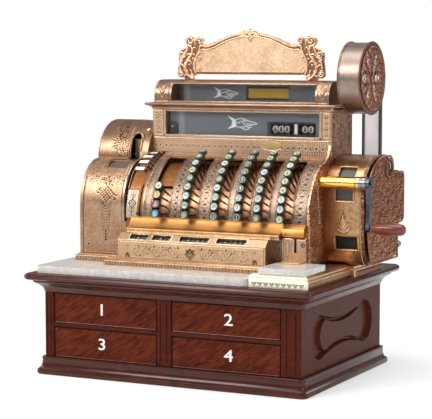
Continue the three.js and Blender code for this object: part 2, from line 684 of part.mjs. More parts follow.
function slideLeverSolid() {
  const s = slideLever;
  const { plateRadius } = bank;
  const inner = plateRadius - s.footDepth;
  const outer = plateRadius + s.reach;
  const half = THREE.MathUtils.radToDeg(s.shankWidth / plateRadius) / 2;
  const shank = prism('x', bankSector(inner, outer, s.angle - half, s.angle + half, 1),
    slideBank.slitX - s.thickness / 2, slideBank.slitX + s.thickness / 2);
  const foot = s.knobRadius * s.knobTaperShare;
  const knob = new THREE.CylinderGeometry(s.knobRadius, foot, s.knobHeight, facets.small);
  return join(shank, solidAt(s.angle, slideBank.slitX, knob, outer));
}

// Curved front plate with a slot for each bank of keys
const plateWidth = bank.sideX - fit - bank.plateLeftX;
const slots = bank.slotCentreShares.map((centreShare, i) => {
  const x = bank.plateLeftX + plateWidth * centreShare;
  const half = (plateWidth * bank.slotWidthShares[i]) / 2;
  return { x, left: x - half, right: x + half };
});

function keyPlateSolid() {
  const outer = bankProfile(bank.plateRadius);
  const inner = bankProfile(bank.plateRadius - bank.plateThickness);
  const plate = prism('x', [...outer, ...inner.reverse()], bank.plateLeftX, bank.sideX - fit);
  const slotSide = bankSector(bank.plateRadius - bank.plateThickness - overrun, bank.plateRadius + overrun,
    bank.slotFromAngle, bank.slotToAngle, 2 * facets.quarter);
  return cut(plate, ...slots.map(({ left, right }) => prism('x', slotSide, left, right)));
}

// Keys: a dished cap on a stem, standing out of the frame along a radius of the banks
const keyStep = THREE.MathUtils.radToDeg(key.pitch / key.faceRadius);
const keyAngle = (row) => key.firstAngle + keyStep * row;

function keyGeometrySolid(stemEnd) {
  const capBottom = key.faceRadius - key.capHeight;
  const cap = turned('z', 0, 0, [
    [0, capBottom], [key.capRadius, capBottom], [key.capRadius, key.faceRadius - key.bevel],
    [key.dishRadius, key.faceRadius], [0, key.faceRadius - key.dish],
  ], key.capFacets);
  return join(cap, rod('z', 0, 0, key.stemRadius, stemEnd, capBottom + key.bevel, key.stemFacets));
}

function bankPlace(angle, x) {
  const turn = THREE.MathUtils.degToRad(90 - angle);
  const place = new THREE.Matrix4().makeRotationX(turn);
  return place.setPosition(x, ...bankAxis);
}

const isMoving = (column, row) => column === 0 || row === key.movingRow;
const rowsOf = (column) => (column === 0 ? key.colouredKeys : key.perBank);

// Each bank has a frame of its own under the plate, and the coloured keys share the first one
const frameRadius = bank.plateRadius - bank.plateThickness - keyFrame.plateGap;
const frameColumns = [[0, 1], [2], [3], [4], [5]];

function frameShell(columns) {
  const radii = [frameRadius, frameRadius - keyFrame.thickness];
  const [outer, inner] = radii.map((radius) =>
    arc(...bankAxis, radius, radius, 180 - keyFrame.topAngle, 180, facets.small));
  const feet = radii.map((radius) => [bankAxis[0] - radius, machineFloor + fit]);
  return prism('x', [...outer, ...feet, ...inner.reverse()],
    slots[columns[0]].left - keyFrame.sideMargin,
    slots[columns[columns.length - 1]].right + keyFrame.sideMargin);
}

function keyFrameSolid(columns) {
  const inner = frameRadius - keyFrame.thickness;
  const keySolid = toGeometry(keyGeometrySolid(frameRadius - keyFrame.thickness / 2));
  const bore = toGeometry(rod('z', 0, 0, key.stemRadius + key.boreClearance, inner - overrun,
    frameRadius + overrun, key.stemFacets));
  const fixed = [];
  const bores = [];
  columns.forEach((column) => {
    for (let row = 0; row < rowsOf(column); row += 1) {
      const geometry = isMoving(column, row) ? bore : keySolid;
      const placed = solid(geometry.clone().applyMatrix4(bankPlace(keyAngle(row), slots[column].x)));
      (isMoving(column, row) ? bores : fixed).push(placed);
    }
  });
  return join(cut(frameShell(columns), ...bores), ...fixed);
}

function addMovingKeys() {
  const colours = [finishes.keyBlue, finishes.keyPink, finishes.keyYellow, finishes.keyWhite];
  const single = keyGeometrySolid(frameRadius - key.stemReach);
  slots.forEach(({ x }, column) => {
    for (let row = 0; row < rowsOf(column); row += 1) {
      if (!isMoving(column, row)) continue;
      const name = column === 0 ? `coloured_key_${row + 1}` : `bank_${column}_key_${row + 1}`;
      const mesh = addPiece(name, single, column === 0 ? colours[row] : finishes.keyGreen);
      mesh.applyMatrix4(bankPlace(keyAngle(row), x));
    }
  });
}

// Right side casting: its front edge follows the banks and flares out to the indicator's face
const crankZ = machineFloor + crank.rise;

function sideCastingSolid() {
  const c = sideCasting;
  const faceY = machine.faceY - fit;
  const lowAngle = THREE.MathUtils.radToDeg(Math.acos((bankAxis[0] - machine.frontY) / c.radius));
  const [flareY, flareZ] = bankPoint(c.radius, c.flareAngle);
  const flareTop = indicatorBottom + c.flareRise;
  const outline = [
    [machine.frontY, machineFloor + fit], [machine.backY, machineFloor + fit],
    [machine.backY, indicatorBottom - fit], [faceY, indicatorBottom - fit],
    ...arc(flareY, flareTop, faceY - flareY, flareTop - flareZ, 360, 270, facets.quarter),
    ...arc(...bankAxis, c.radius, c.radius, 180 - c.flareAngle, 180 - lowAngle, facets.quarter).slice(1),
  ];
  return cut(prism('x', outline, bank.sideX, machine.rightX),
    rod('x', crank.y, crankZ, crank.journalRadius + fit, bank.sideX - overrun, machine.rightX + overrun));
}

function addBanks() {
  addPiece('left_housing', leftHousing(), finishes.brass);
  addPiece('barrel_cover', barrelCover(), finishes.brass);
  addPiece('slide_bank', slideBankSolid(), finishes.brass);
  addPiece('slide_lever', slideLeverSolid(), finishes.steel);
  addPiece('key_plate', keyPlateSolid(), finishes.brass);
  frameColumns.forEach((columns, i) => {
    addPiece(`key_frame_${i + 1}`, keyFrameSolid(columns), finishes.paleBrass);
  });
  addMovingKeys();
  addPiece('side_casting', sideCastingSolid(), finishes.brass);
  addPiece('back_cover', block(indicator.leftX, bank.sideX - fit, machine.backY - sideCasting.backWall,
    machine.backY, machineFloor + fit, indicatorBottom - fit), finishes.darkBrass);
}
addBanks();

// Front counter box: windows in its sloping top edge open into a chamber for the counter wheels
const counterTop = machineFloor + counter.height;
const wallY = bankAxis[0] - bank.plateRadius - fit;
const counterWidth = counter.rightX - counter.leftX;
const atCounter = (share) => counter.leftX + counterWidth * share;
const slope = new THREE.Vector2(counter.slopeDepth, counter.slopeHeight);
const slopeLength = slope.length();
slope.normalize();
const slopeStart = new THREE.Vector2(machine.tongueY, counterTop - counter.slopeHeight);
// A point at a distance up the slope and a height out of it
function onSlope(along, out) {
  return [
    slopeStart.x + slope.x * along - slope.y * out,
    slopeStart.y + slope.y * along + slope.x * out,
  ];
}
const counterAxis = onSlope(slopeLength / 2, -counter.wheelAxisDepth);
const chamberEnds = counter.chamberEndShares.map(atCounter);

function counterBoxSolid() {
  const outline = [
    [machine.tongueY, machineFloor + fit], [wallY, machineFloor + fit], [wallY, counterTop],
    [machine.tongueY + counter.slopeDepth, counterTop], [slopeStart.x, slopeStart.y],
  ];
  const windowSide = [
    onSlope(counter.windowInset, -counter.wheelAxisDepth),
    onSlope(slopeLength - counter.windowInset, -counter.wheelAxisDepth),
    onSlope(slopeLength - counter.windowInset, overrun), onSlope(counter.windowInset, overrun),
  ];
  const windows = counter.windowShares.map(([from, to]) =>
    prism('x', windowSide, atCounter(from), atCounter(to)));
  const [chamberLeft, chamberRight] = chamberEnds;
  const reach = counterWheels.spindleReach + fit;
  const bore = counterWheels.spindleRadius + fit;
  return cut(prism('x', outline, counter.leftX, counter.rightX), ...windows,
    rod('x', ...counterAxis, counter.chamberRadius, chamberLeft, chamberRight),
    rod('x', ...counterAxis, bore, chamberLeft - reach, chamberRight + reach, facets.small),
    rod('x', counter.keyholeY, counterTop - counter.keyholeDrop, counter.keyholeRadius,
      counter.rightX - counter.keyholeDepth, counter.rightX + overrun, facets.small));
}

function counterWheelsSolid() {
  const w = counterWheels;
  const [chamberLeft, chamberRight] = chamberEnds;
  const profile = [[0, chamberLeft - w.spindleReach], [w.spindleRadius, chamberLeft - w.spindleReach]];
  counter.windowShares.forEach(([fromShare, toShare], i) => {
    const from = atCounter(fromShare) - w.wheelMargin;
    const to = atCounter(toShare) + w.wheelMargin;
    profile.push([w.spindleRadius, from], [w.radius, from]);
    for (let digit = 1; digit < w.digitsPerWindow[i]; digit += 1) {
      const x = from + ((to - from) * digit) / w.digitsPerWindow[i];
      profile.push([w.radius, x - w.grooveWidth], [w.radius - w.grooveDepth, x],
        [w.radius, x + w.grooveWidth]);
    }
    profile.push([w.radius, to], [w.spindleRadius, to]);
  });
  profile.push([w.spindleRadius, chamberRight + w.spindleReach], [0, chamberRight + w.spindleReach]);
  return turned('x', ...counterAxis, profile, facets.small);
}

function ledgeSolid() {
  const base = counterTop + fit;
  const half = ledge.lip / 2;
  const outline = [
    [ledge.frontY, base], [wallY, base], [wallY, base + ledge.rise],
    ...arc(ledge.frontY + half, base + half, half, half, ...ledge.lipTurn, facets.corner),
  ];
  return prism('x', outline, ledge.leftX, ledge.rightX);
}

const lockLeft = ledge.rightX + fit;
const lockRight = lockLeft + lockBlock.width;
const lockFront = wallY - lockBlock.depth;
const lockTop = machineFloor + fit + lockBlock.height;
const lockX = lockLeft + lockBlock.width * lockPlug.xShare;
const lockZ = lockTop - lockPlug.drop;

function lockBlockSolid() {
  const b = lockBlock;
  const outline = [
    [lockFront, machineFloor + fit], [wallY, machineFloor + fit], [wallY, lockTop],
    [lockFront + b.topBevel, lockTop], [lockFront, lockTop - b.topBevel],
  ];
  const slotX = lockLeft + b.width * b.slotCentreShare;
  const slotTop = lockTop - b.slotTopDrop;
  return cut(prism('x', outline, lockLeft, lockRight),
    block(slotX - b.slotWidth / 2, slotX + b.slotWidth / 2, lockFront - overrun, lockFront + b.slotDepth,
      slotTop - b.slotHeight, slotTop),
    rod('y', lockX, lockZ, lockPlug.radius + fit, lockFront - overrun, lockFront + lockPlug.depth + fit));
}

function lockPlugSolid() {
  const face = lockFront - lockPlug.faceReach;
  const half = lockPlug.keywayWidth / 2;
  const keyway = block(lockX - half, lockX + half, face - overrun, face + lockPlug.depth / 2,
    lockZ - lockPlug.radius * lockPlug.keywayShare, lockZ + lockPlug.radius * lockPlug.keywayShare);
  return cut(rod('y', lockX, lockZ, lockPlug.radius, face, lockFront + lockPlug.depth), keyway);
}

function addFront() {
  addPiece('counter_box', counterBoxSolid(), finishes.paleBrass);
  addPiece('counter_wheels', counterWheelsSolid(), finishes.wheels);
  addPiece('front_ledge', ledgeSolid(), finishes.polishedBrass);
  addPiece('lock_block', lockBlockSolid(), finishes.paleBrass);
  addPiece('lock_plug', lockPlugSolid(), finishes.darkBrass);
}
addFront();

// Lower indicator: a case with a window through it, a panel with number wheels, and a glass
const windowBottom = machineFloor + indicator.windowBottomRise;
const windowTop = machineFloor + indicator.windowTopRise;
const panelFront = machine.faceY + indicator.panelSetback;
const wheelAxis = [
  panelFront + numberWheels.radius + numberWheels.chamberClearance,
  machineFloor + numberWheels.centreRise,
];

function indicatorFrameSolid() {
  const { windowLeftX: left, windowRightX: right, frameWidth, frameLift, backY } = indicator;
  const { faceY } = machine;
  const body = block(indicator.leftX, indicator.rightX, faceY, backY, indicatorBottom + fit, indicatorTop);
  const surround = block(left - frameWidth, right + frameWidth, faceY - frameLift, backY,
    windowBottom - frameWidth, windowTop + frameWidth / 2);
  const ovalRing = arc(indicator.ovalX, windowBottom - indicator.ovalDrop, indicator.ovalHalfWidth,
    indicator.ovalHalfHeight, 0, 360, facets.medium);
  const oval = prism('y', ovalRing.slice(0, -1), faceY - frameLift / 2, faceY + frameLift);
  return cut(join(body, surround, oval),
    block(left, right, faceY - overrun - frameLift, backY + overrun, windowBottom, windowTop));
}

function indicatorPanelSolid() {
  const { panelMargin: m, panelSetback } = indicator;
  const w = numberWheels;
  const [axisY, axisZ] = wheelAxis;
  const reach = w.radius + w.chamberClearance;
  const chamber = (x0, x1) =>
    block(x0, x1, panelFront - overrun, axisY + reach, axisZ - reach, axisZ + reach);
  const webRight = w.webX + w.webWidth;
  const boreStart = w.chamberLeftX - w.spindleReach - fit;
  return cut(
    block(indicator.windowLeftX + m, indicator.windowRightX - m, panelFront, indicator.backY - panelSetback,
      windowBottom + fit, windowTop - m),
    chamber(w.chamberLeftX, w.webX), chamber(webRight, w.chamberRightX),
    rod('x', axisY, axisZ, w.spindleRadius + fit, boreStart, w.chamberRightX, facets.small));
}

function numberWheelsSolid() {
  const w = numberWheels;
  const profile = [[0, w.chamberLeftX - w.spindleReach], [w.spindleRadius, w.chamberLeftX - w.spindleReach]];
  const addWheels = (startX, count) => {
    for (let i = 0; i < count; i += 1) {
      const middle = startX + w.pitch * i;
      const [left, right] = [middle - w.width / 2, middle + w.width / 2];
      profile.push([w.spindleRadius, left], [w.radius, left], [w.radius, right], [w.spindleRadius, right]);
    }
  };
  addWheels(w.leftGroupX, w.leftCount);
  addWheels(w.rightGroupX, w.rightCount);
  const end = w.chamberRightX - w.chamberClearance;
  profile.push([w.spindleRadius, end], [0, end]);
  return turned('x', ...wheelAxis, profile, w.digits);
}

function indicatorGlassSolid() {
  const { windowLeftX, windowRightX, glassSetback, glassThickness } = indicator;
  const front = machine.faceY + glassSetback;
  return block(windowLeftX + fit, windowRightX - fit, front, front + glassThickness,
    windowBottom + fit, windowTop - fit);
}

// Upper indicator: rounded end caps joined by a floor and a rounded roof, with a flag drum inside
const upperFloor = upperBottom + fit + upperBox.floor;
const upperRoof = upperTop - upperBox.roof;
const upperPanelFront = upperBox.frontY + upperBox.panelSetback;
const flagAxis = [
  upperPanelFront + flagDrum.side / 2 + flagDrum.setback,
  (upperFloor + upperRoof) / 2 - flagDrum.drop,
];

function upperFrameSolid() {
  const { frontY, backY, roundRadius: r, leftX, rightX } = upperBox;
  const outline = [
    [frontY, upperBottom + fit], [backY, upperBottom + fit],
    ...arc(backY - r, upperTop - r, r, r, 0, 90, facets.quarter),
    ...arc(frontY + r, upperTop - r, r, r, 90, 180, facets.quarter),
  ];
  return cut(prism('x', outline, leftX, rightX),
    block(upperBox.windowLeftX, upperBox.windowRightX, frontY - overrun, backY + overrun,
      upperFloor, upperRoof));
}

function upperPanelSolid() {
  const m = upperBox.panelMargin;
  const chamberRadius = (flagDrum.side / 2) * Math.SQRT2 + flagDrum.chamberClearance;
  const back = upperBox.backY - upperBox.panelSetback;
  const right = flagDrum.leftX + flagDrum.length;
  const bore = flagDrum.spindleReach + fit;
  return cut(
    block(upperBox.windowLeftX + m, upperBox.windowRightX - m, upperPanelFront, back,
      upperFloor + fit, upperRoof - m),
    rod('x', ...flagAxis, chamberRadius, flagDrum.leftX - slideGap, right + slideGap),
    rod('x', ...flagAxis, flagDrum.spindleRadius + fit, flagDrum.leftX - bore, right + bore, facets.small));
}

function flagDrumSolid() {
  const [y, z] = flagAxis;
  const half = flagDrum.side / 2;
  const right = flagDrum.leftX + flagDrum.length;
  return join(prism('x', rectangle(y - half, y + half, z - half, z + half), flagDrum.leftX, right),
    rod('x', y, z, flagDrum.spindleRadius, flagDrum.leftX - flagDrum.spindleReach,
      right + flagDrum.spindleReach, facets.small));
}

function upperGlassSolid() {
  const front = upperBox.frontY + upperBox.glassSetback;
  return block(upperBox.windowLeftX + fit, upperBox.windowRightX - fit, front,
    front + upperBox.glassThickness, upperFloor + fit, upperRoof - fit);
}

// Sign: a plate with a raised border, scrolls at its ears and a rosette at its crown
function signSolid() {
  const base = upperTop + fit;
  const at = ([out, up], side = 1) => [sign.centreX + side * out * sign.halfWidth, base + up * sign.height];
  const mirrored = (shares, side) => shares.map((share) => at(share, side));
  const closed = (shares) => [...mirrored(shares, -1), ...mirrored(shares, 1).reverse()];
  const outline = closed(sign.outlineShares);
  const [first, ...rest] = sign.innerShares;
  const inner = [...mirrored(rest.slice().reverse(), 1), at(first), ...mirrored(rest, -1)];
  const slab = (points, thickness, holes) =>
    prism('y', points, sign.y - thickness / 2, sign.y + thickness / 2, holes);
  const front = sign.y - sign.voluteThickness / 2;
  const volute = ([out, up, radiusShare], side) => {
    const [x, z] = at([out, up], side);
    return rod('y', x, z, radiusShare * sign.halfWidth, front, front + sign.voluteThickness, facets.small);
  };
  const sidesOf = ([out]) => (out === 0 ? [1] : [-1, 1]);
  const volutes = sign.voluteShares.flatMap((share) => sidesOf(share).map((side) => volute(share, side)));
  return join(slab(outline, sign.thickness), slab(outline, sign.borderThickness, [inner]), ...volutes);
}

function addIndicators() {
  addPiece('indicator_frame', indicatorFrameSolid(), finishes.brass);
  addPiece('indicator_panel', indicatorPanelSolid(), finishes.panel);
  addPiece('indicator_glass', indicatorGlassSolid(), finishes.glass);
  addPiece('number_wheels', numberWheelsSolid(), finishes.wheels);
  const top = [indicator.leftX, indicator.rightX, machine.faceY, indicator.backY];
  addPiece('indicator_cornice', mouldedBoard(top, indicatorTop + fit, indicatorCornice.height - fit,
    indicatorCornice), finishes.brass);
  addPiece('upper_frame', upperFrameSolid(), finishes.brass);
  addPiece('upper_panel', upperPanelSolid(), finishes.panel);
  addPiece('flag_drum', flagDrumSolid(), finishes.flag);
  addPiece('upper_glass', upperGlassSolid(), finishes.glass);
  addPiece('top_sign', signSolid(), finishes.brass);
}
addIndicators();

// Receipt printer: a swelling front under a rounded crown, with two windows and a receipt slot
const printerFloor = sideLevel + fit;
const printerSpringZ = printerFloor + printer.springRise;
const printerTop = printerFloor + printer.topRise;
const printerLeft = machine.rightX + fit;
const crownCentre = [printer.frontY + printer.crownDepth, printerSpringZ];

function printerFront(grow) {
  const swellZ = printerFloor + printer.swellRise;
  const swell = printer.footY - printer.frontY + grow;
  const crownHeight = printerTop - printerSpringZ + grow;
  return [
    ...arc(...crownCentre, printer.crownDepth + grow, crownHeight, 90, 180, facets.quarter),
    ...arc(printer.footY, swellZ, swell, printer.swellRise, 180, 270, facets.quarter),
  ];
}

function printerHousingSolid() {
  const p = printer;
  const outline = [...printerFront(0), [p.backY, printerFloor], [p.backY, printerTop]];
  const recess = ([low, high], left, right, depth) => block(left, right, p.frontY - overrun,
    p.frontY + depth, printerFloor + low, printerFloor + high);
  const crownArc = (grow, from, to) => arc(...crownCentre, p.crownDepth + grow,
    printerTop - printerSpringZ + grow, 180 - from, 180 - to, facets.corner);
  const [from, to] = p.crownWindowAngles;
  const crownWindow = prism('x', [...crownArc(-p.windowDepth, from, to), ...crownArc(overrun, to, from)],
    p.windowLeftX, p.windowRightX);
  return cut(prism('x', outline, printerLeft, p.rightX), crownWindow,
    recess(p.lowWindowRises, p.windowLeftX, p.windowRightX, p.windowDepth),
    recess(p.slotRises, p.slotLeftX, p.slotRightX, p.slotDepth));
}

// Side plate of the printer, with a round boss, a lug to the back and the box of the feed knob
const plateLeft = printer.rightX + fit;
const plateRight = plateLeft + sidePlate.thickness;
const lobe = [sidePlate.lobeY, printerFloor + sidePlate.lobeRise];
const boss = [sidePlate.bossY, lobe[1]];
const feedAxis = [
  plateRight + feedBox.width / 2,
  printerFloor + (feedBox.bottomRise + feedBox.topRise) / 2,
];

function sidePlateSolid() {
  const s = sidePlate;
  const c = s.lugCorner;
  const lugBottom = printerFloor + s.lugBottomRise;
  const lugTop = printerFloor + s.lugTopRise;
  const outline = [
    [s.neckY, printerFloor], [s.neckY, lugBottom - c / 2], [s.rearY - c, lugBottom],
    ...arc(s.rearY - c, lugBottom + c, c, c, 270, 360, facets.corner).slice(1),
    ...arc(s.rearY - c, lugTop - c, c, c, 0, 90, facets.corner),
    ...arc(...lobe, s.lobeRadius, s.lobeRadius, -10, 90, facets.quarter),
    ...printerFront(s.frontMargin),
  ];
  const plate = prism('x', outline, plateLeft, plateRight);
  const bossRing = rod('x', ...boss, s.bossRadius, plateRight - fit, plateRight + s.bossHeight);
  const bossHole = rod('x', ...boss, s.bossHoleRadius, plateRight + s.bossHeight - s.bossHoleDepth,
    plateRight + s.bossHeight + overrun);
  const box = block(plateRight - fit, plateRight + feedBox.width, feedBox.frontY, feedBox.backY,
    printerFloor + feedBox.bottomRise, printerFloor + feedBox.topRise);
  const bore = rod('y', ...feedAxis, feedBox.spindleRadius + fit, feedBox.backY - feedBox.spindleReach - fit,
    feedBox.backY + overrun, facets.small);
  return cut(join(plate, bossRing, box), bossHole, bore);
}

function feedKnobSolid() {
  const f = feedBox;
  const face = f.backY + f.knobNeck;
  return turned('y', ...feedAxis, [
    [0, f.backY - f.spindleReach], [f.spindleRadius, f.backY - f.spindleReach], [f.spindleRadius, face],
    [f.knobRadius - f.knobBevel, face], [f.knobRadius, face + f.knobBevel],
    [f.knobRadius, face + f.knobLength - f.knobBevel], [f.knobRadius - f.knobBevel, face + f.knobLength],
    [0, face + f.knobLength],
  ]);
}

// Guide box behind the printer, where the paper web goes in
const rodInnerGap = drum.rodGap;
const webCentreX = (drum.leftX + drum.rightX) / 2;
const webY = drum.axisY + paper.rollRadius + fit;
const guideTop = printerFloor + guideBox.topRise;

function guideBoxSolid() {
  const slotHalf = rodInnerGap / 2;
  const bottom = printerFloor + guideBox.bottomRise;
  return cut(
    block(guideBox.leftX, printer.rightX, printer.backY + fit, guideBox.backY, bottom, guideTop),
    block(webCentreX - slotHalf, webCentreX + slotHalf, webY - guideBox.slotMargin,
      webY + paper.webThickness + guideBox.slotMargin, guideTop - guideBox.slotDepth, guideTop + overrun));
}

function addPrinter() {
  addPiece('printer_housing', printerHousingSolid(), finishes.brass);
  addPiece('printer_side_plate', sidePlateSolid(), finishes.darkBrass);
  addPiece('feed_knob', feedKnobSolid(), finishes.steel);
  addPiece('paper_guide_box', guideBoxSolid(), finishes.darkBrass);
}
addPrinter();

// Crank: a polished sleeve on its journal, a steel arm and a turned wooden grip on a spindle
const armLeft = crank.collarEndX + fit;
const armRight = armLeft + crank.armThickness;

function crankShaftSolid() {
  const c = crank;
  const sleeveStart = machine.rightX + fit;
  return turned('x', c.y, crankZ, [
    [0, c.journalStartX], [c.journalRadius, c.journalStartX], [c.journalRadius, sleeveStart],
    [c.sleeveRadius, sleeveStart], [c.sleeveRadius, c.sleeveEndX], [c.collarRadius, c.sleeveEndX],
    [c.collarRadius, c.sleeveEndX + c.collarBand], [c.collarNeckRadius, c.sleeveEndX + c.collarBand],
    [c.collarNeckRadius, c.collarEndX - c.collarBand], [c.collarRadius, c.collarEndX - c.collarBand / 2],
    [c.collarRadius, c.collarEndX], [0, c.collarEndX],
  ]);
}

function crankArmSolid() {
  const c = crank;
  const endZ = crankZ - c.armThrow;
  const waist = c.armEndRadius * c.armWaistShare;
  const outline = [
    ...arc(c.y, crankZ, c.armHubRadius, c.armHubRadius, -50, 230, 2 * facets.quarter),
    [c.y - waist, crankZ - c.armThrow / 2],
    ...arc(c.y, endZ, c.armEndRadius, c.armEndRadius, 150, 390, 2 * facets.quarter),
    [c.y + waist, crankZ - c.armThrow / 2],
  ];
  return join(prism('x', outline, armLeft, armRight),
    rod('x', c.y, crankZ, c.boltRadius, armRight - fit, armRight + c.boltHeight, facets.tiny),
    rod('x', c.y, endZ, c.spindleRadius, armRight - fit, armRight + c.spindleLength));
}

function gripSolid() {
  const start = armRight + grip.gap;
  const boreRadius = crank.spindleRadius + grip.boreClearance;
  const boreEnd = armRight + crank.spindleLength + grip.endClearance;
  return turned('x', crank.y, crankZ - crank.armThrow, [
    [boreRadius, start],
    ...grip.profileShares.map(([out, along]) => [grip.radius * out, start + grip.length * along]),
    [0, start + grip.length], [0, boreEnd], [boreRadius, boreEnd], [boreRadius, start],
  ]);
}

function addCrank() {
  addPiece('crank_shaft', crankShaftSolid(), finishes.polishedBrass);
  addPiece('crank_arm', crankArmSolid(), finishes.steel);
  addPiece('crank_grip', gripSolid(), finishes.gripWood);
}
addCrank();

// Paper drum on two flat rods, with an openwork rosette in its outer face
const drumAxis = [drum.axisY, drum.axisZ];

function drumCaseSolid() {
  const { leftX, rightX, radius, wall, lipWidth, lipHeight } = drum;
  const inner = radius - wall;
  const rods = [-1, 1].map((side) => {
    const near = webCentreX + (side * rodInnerGap) / 2;
    const far = near + side * drum.rodWidth;
    return block(Math.min(near, far), Math.max(near, far), drum.rodY, drum.rodY + drum.rodDepth,
      guideTop + fit, drum.axisZ - drum.rodStopDrop);
  });
  const lip = (x) => rod('x', ...drumAxis, radius + lipHeight, x, x + lipWidth, facets.round);
  const barrelRod = rod('x', ...drumAxis, radius, leftX, rightX, facets.round);
  const shell = cut(
    join(barrelRod, lip(leftX), lip(rightX - lipWidth), ...rods),
    rod('x', ...drumAxis, inner, leftX + drum.sideWall, rightX + overrun, facets.round));
  const webHalf = rodInnerGap / 2;
  const slot = block(webCentreX - webHalf, webCentreX + webHalf, webY - drum.slotMargin,
    webY + paper.webThickness + drum.slotMargin, drum.axisZ - radius, drum.axisZ - drum.slotStopDrop);
  const hub = rod('x', ...drumAxis, drum.hubRadius, leftX, leftX + drum.hubLength, facets.small);
  return join(cut(shell, slot), hub);
}

function ellipseBar(radial, turn, halfLength, halfWidth, bar) {
  const place = (points) => points.map(([u, v]) => [
    drumAxis[0] + (radial + u) * Math.cos(turn) - v * Math.sin(turn),
    drumAxis[1] + (radial + u) * Math.sin(turn) + v * Math.cos(turn),
  ]);
  const ring = (a, b) => place(arc(0, 0, a, b, 0, 360, grille.facets).slice(0, -1));
  const right = drum.rightX;
  return prism('x', ring(halfLength, halfWidth), right - grille.thickness, right,
    [ring(halfLength - bar, halfWidth - bar)]);
}

function drumGrilleSolid() {
  const outer = drum.radius - drum.wall - fit;
  const right = drum.rightX;
  const left = right - grille.thickness;
  const ring = prism('x', circle(...drumAxis, outer, facets.round), left, right,
    [circle(...drumAxis, outer - grille.ringWidth, facets.round)]);
  const hub = rod('x', ...drumAxis, grille.hubRadius, left, right + grille.hubLift, facets.small);
  const pieces = [];
  for (let i = 0; i < grille.petals; i += 1) {
    const turn = (2 * Math.PI * i) / grille.petals;
    const between = turn + Math.PI / grille.petals;
    pieces.push(
      ellipseBar(grille.petalRadius, turn, grille.petalHalfLength, grille.petalHalfWidth, grille.bar),
      ellipseBar(grille.budRadius, between, grille.budHalfLength, grille.budHalfWidth, grille.bar),
    );
  }
  return join(ring, hub, ...pieces);
}

function paperRollSolid() {
  const left = drum.leftX + drum.sideWall + paper.rollMargin;
  const right = drum.rightX - grille.thickness - paper.rollMargin;
  return prism('x', circle(...drumAxis, paper.rollRadius, facets.round), left, right,
    [circle(...drumAxis, drum.hubRadius + paper.boreClearance, facets.small)]);
}

function addDrum() {
  addPiece('drum_case', drumCaseSolid(), finishes.brass);
  addPiece('drum_grille', drumGrilleSolid(), finishes.darkBrass);
  addPiece('paper_roll', paperRollSolid(), finishes.paper);
  const half = rodInnerGap / 2 - paper.webMargin;
  addPiece('paper_web', block(webCentreX - half, webCentreX + half, webY, webY + paper.webThickness,
    guideTop - guideBox.slotDepth + fit, drum.axisZ), finishes.paper);
}
addDrum();

export default root;
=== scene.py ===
"""Looks of an antique brass cash register on its mahogany drawer cabinet.

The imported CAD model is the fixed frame. Its solids are shown through welded, bevelled copies, and
cast ornament, keys, numerals and small trim are laid over them. Sizes are millimetres unless a name
says otherwise, and MM turns them into Blender's metres.
"""

import json
import math

import bmesh
import bpy
import numpy as np
from mathutils import Matrix, Vector


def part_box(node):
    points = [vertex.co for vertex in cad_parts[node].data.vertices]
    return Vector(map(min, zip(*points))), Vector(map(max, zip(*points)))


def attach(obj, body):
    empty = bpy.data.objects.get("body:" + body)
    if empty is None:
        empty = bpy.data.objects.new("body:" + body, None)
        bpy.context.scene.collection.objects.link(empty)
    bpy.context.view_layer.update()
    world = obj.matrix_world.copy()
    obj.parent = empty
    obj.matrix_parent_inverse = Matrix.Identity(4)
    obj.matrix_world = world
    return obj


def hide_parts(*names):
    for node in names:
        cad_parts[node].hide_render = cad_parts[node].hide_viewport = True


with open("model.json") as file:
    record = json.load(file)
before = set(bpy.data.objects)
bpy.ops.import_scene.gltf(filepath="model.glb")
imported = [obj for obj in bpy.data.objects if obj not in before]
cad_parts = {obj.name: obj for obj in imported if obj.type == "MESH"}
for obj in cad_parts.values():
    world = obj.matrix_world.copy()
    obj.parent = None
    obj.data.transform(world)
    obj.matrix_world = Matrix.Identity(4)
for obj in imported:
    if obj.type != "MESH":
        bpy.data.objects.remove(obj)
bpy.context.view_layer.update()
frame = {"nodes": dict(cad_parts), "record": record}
MM = 0.001
record = frame["record"]
NODE_BODY = {node: body for body, nodes in record["behaviour"]["bodies"].items() for node in nodes}
NODE_SLOT = {part["node"]: part["material_slot"] for part in record["subparts"]}
ROOT = "machine"
FRONT = ((1, 0, 0), (0, 0, 1))  # directions across and up the front of the machine
RIGHT = ((0, 1, 0), (0, 0, 1))  # and its right side
SIDES = (-1, 1)

# Centres of curves in the side view, as Y and Z, with their radii
BANK_AXIS, BANK_RADIUS, BANK_FOOT = (34.6, 331.0), 140.5, 250.3
HOUSING_AXIS, HOUSING_RADII = (-17, 354.3), (78, 99)
BARREL_AXIS, BARREL_RADIUS = (68, 453.3), 84
PRINTER_WAIST, WAIST_RADII = (2, 326.3), (28, 80)
PRINTER_CROWN, CROWN_RADII = (72, 399.3), (98, 71)
CRANK_AXIS, DRUM_AXIS = (-46, 421.5), (72, 635)


def box_mm(node):
    """Lowest and highest corner of a CAD node, in millimetres."""
    low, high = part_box(node)
    return np.array(low) / MM, np.array(high) / MM


# Shaders


def set_stops(node, stops):
    """Gives a ramp its stops of (place, colour or grey)."""
    elements = node.color_ramp.elements
    while len(elements) < len(stops):
        elements.new(0.5)
    for element, (position, colour) in zip(elements, stops):
        element.position = position
        element.color = (*colour, 1) if isinstance(colour, tuple) else (colour, colour, colour, 1)
    return node


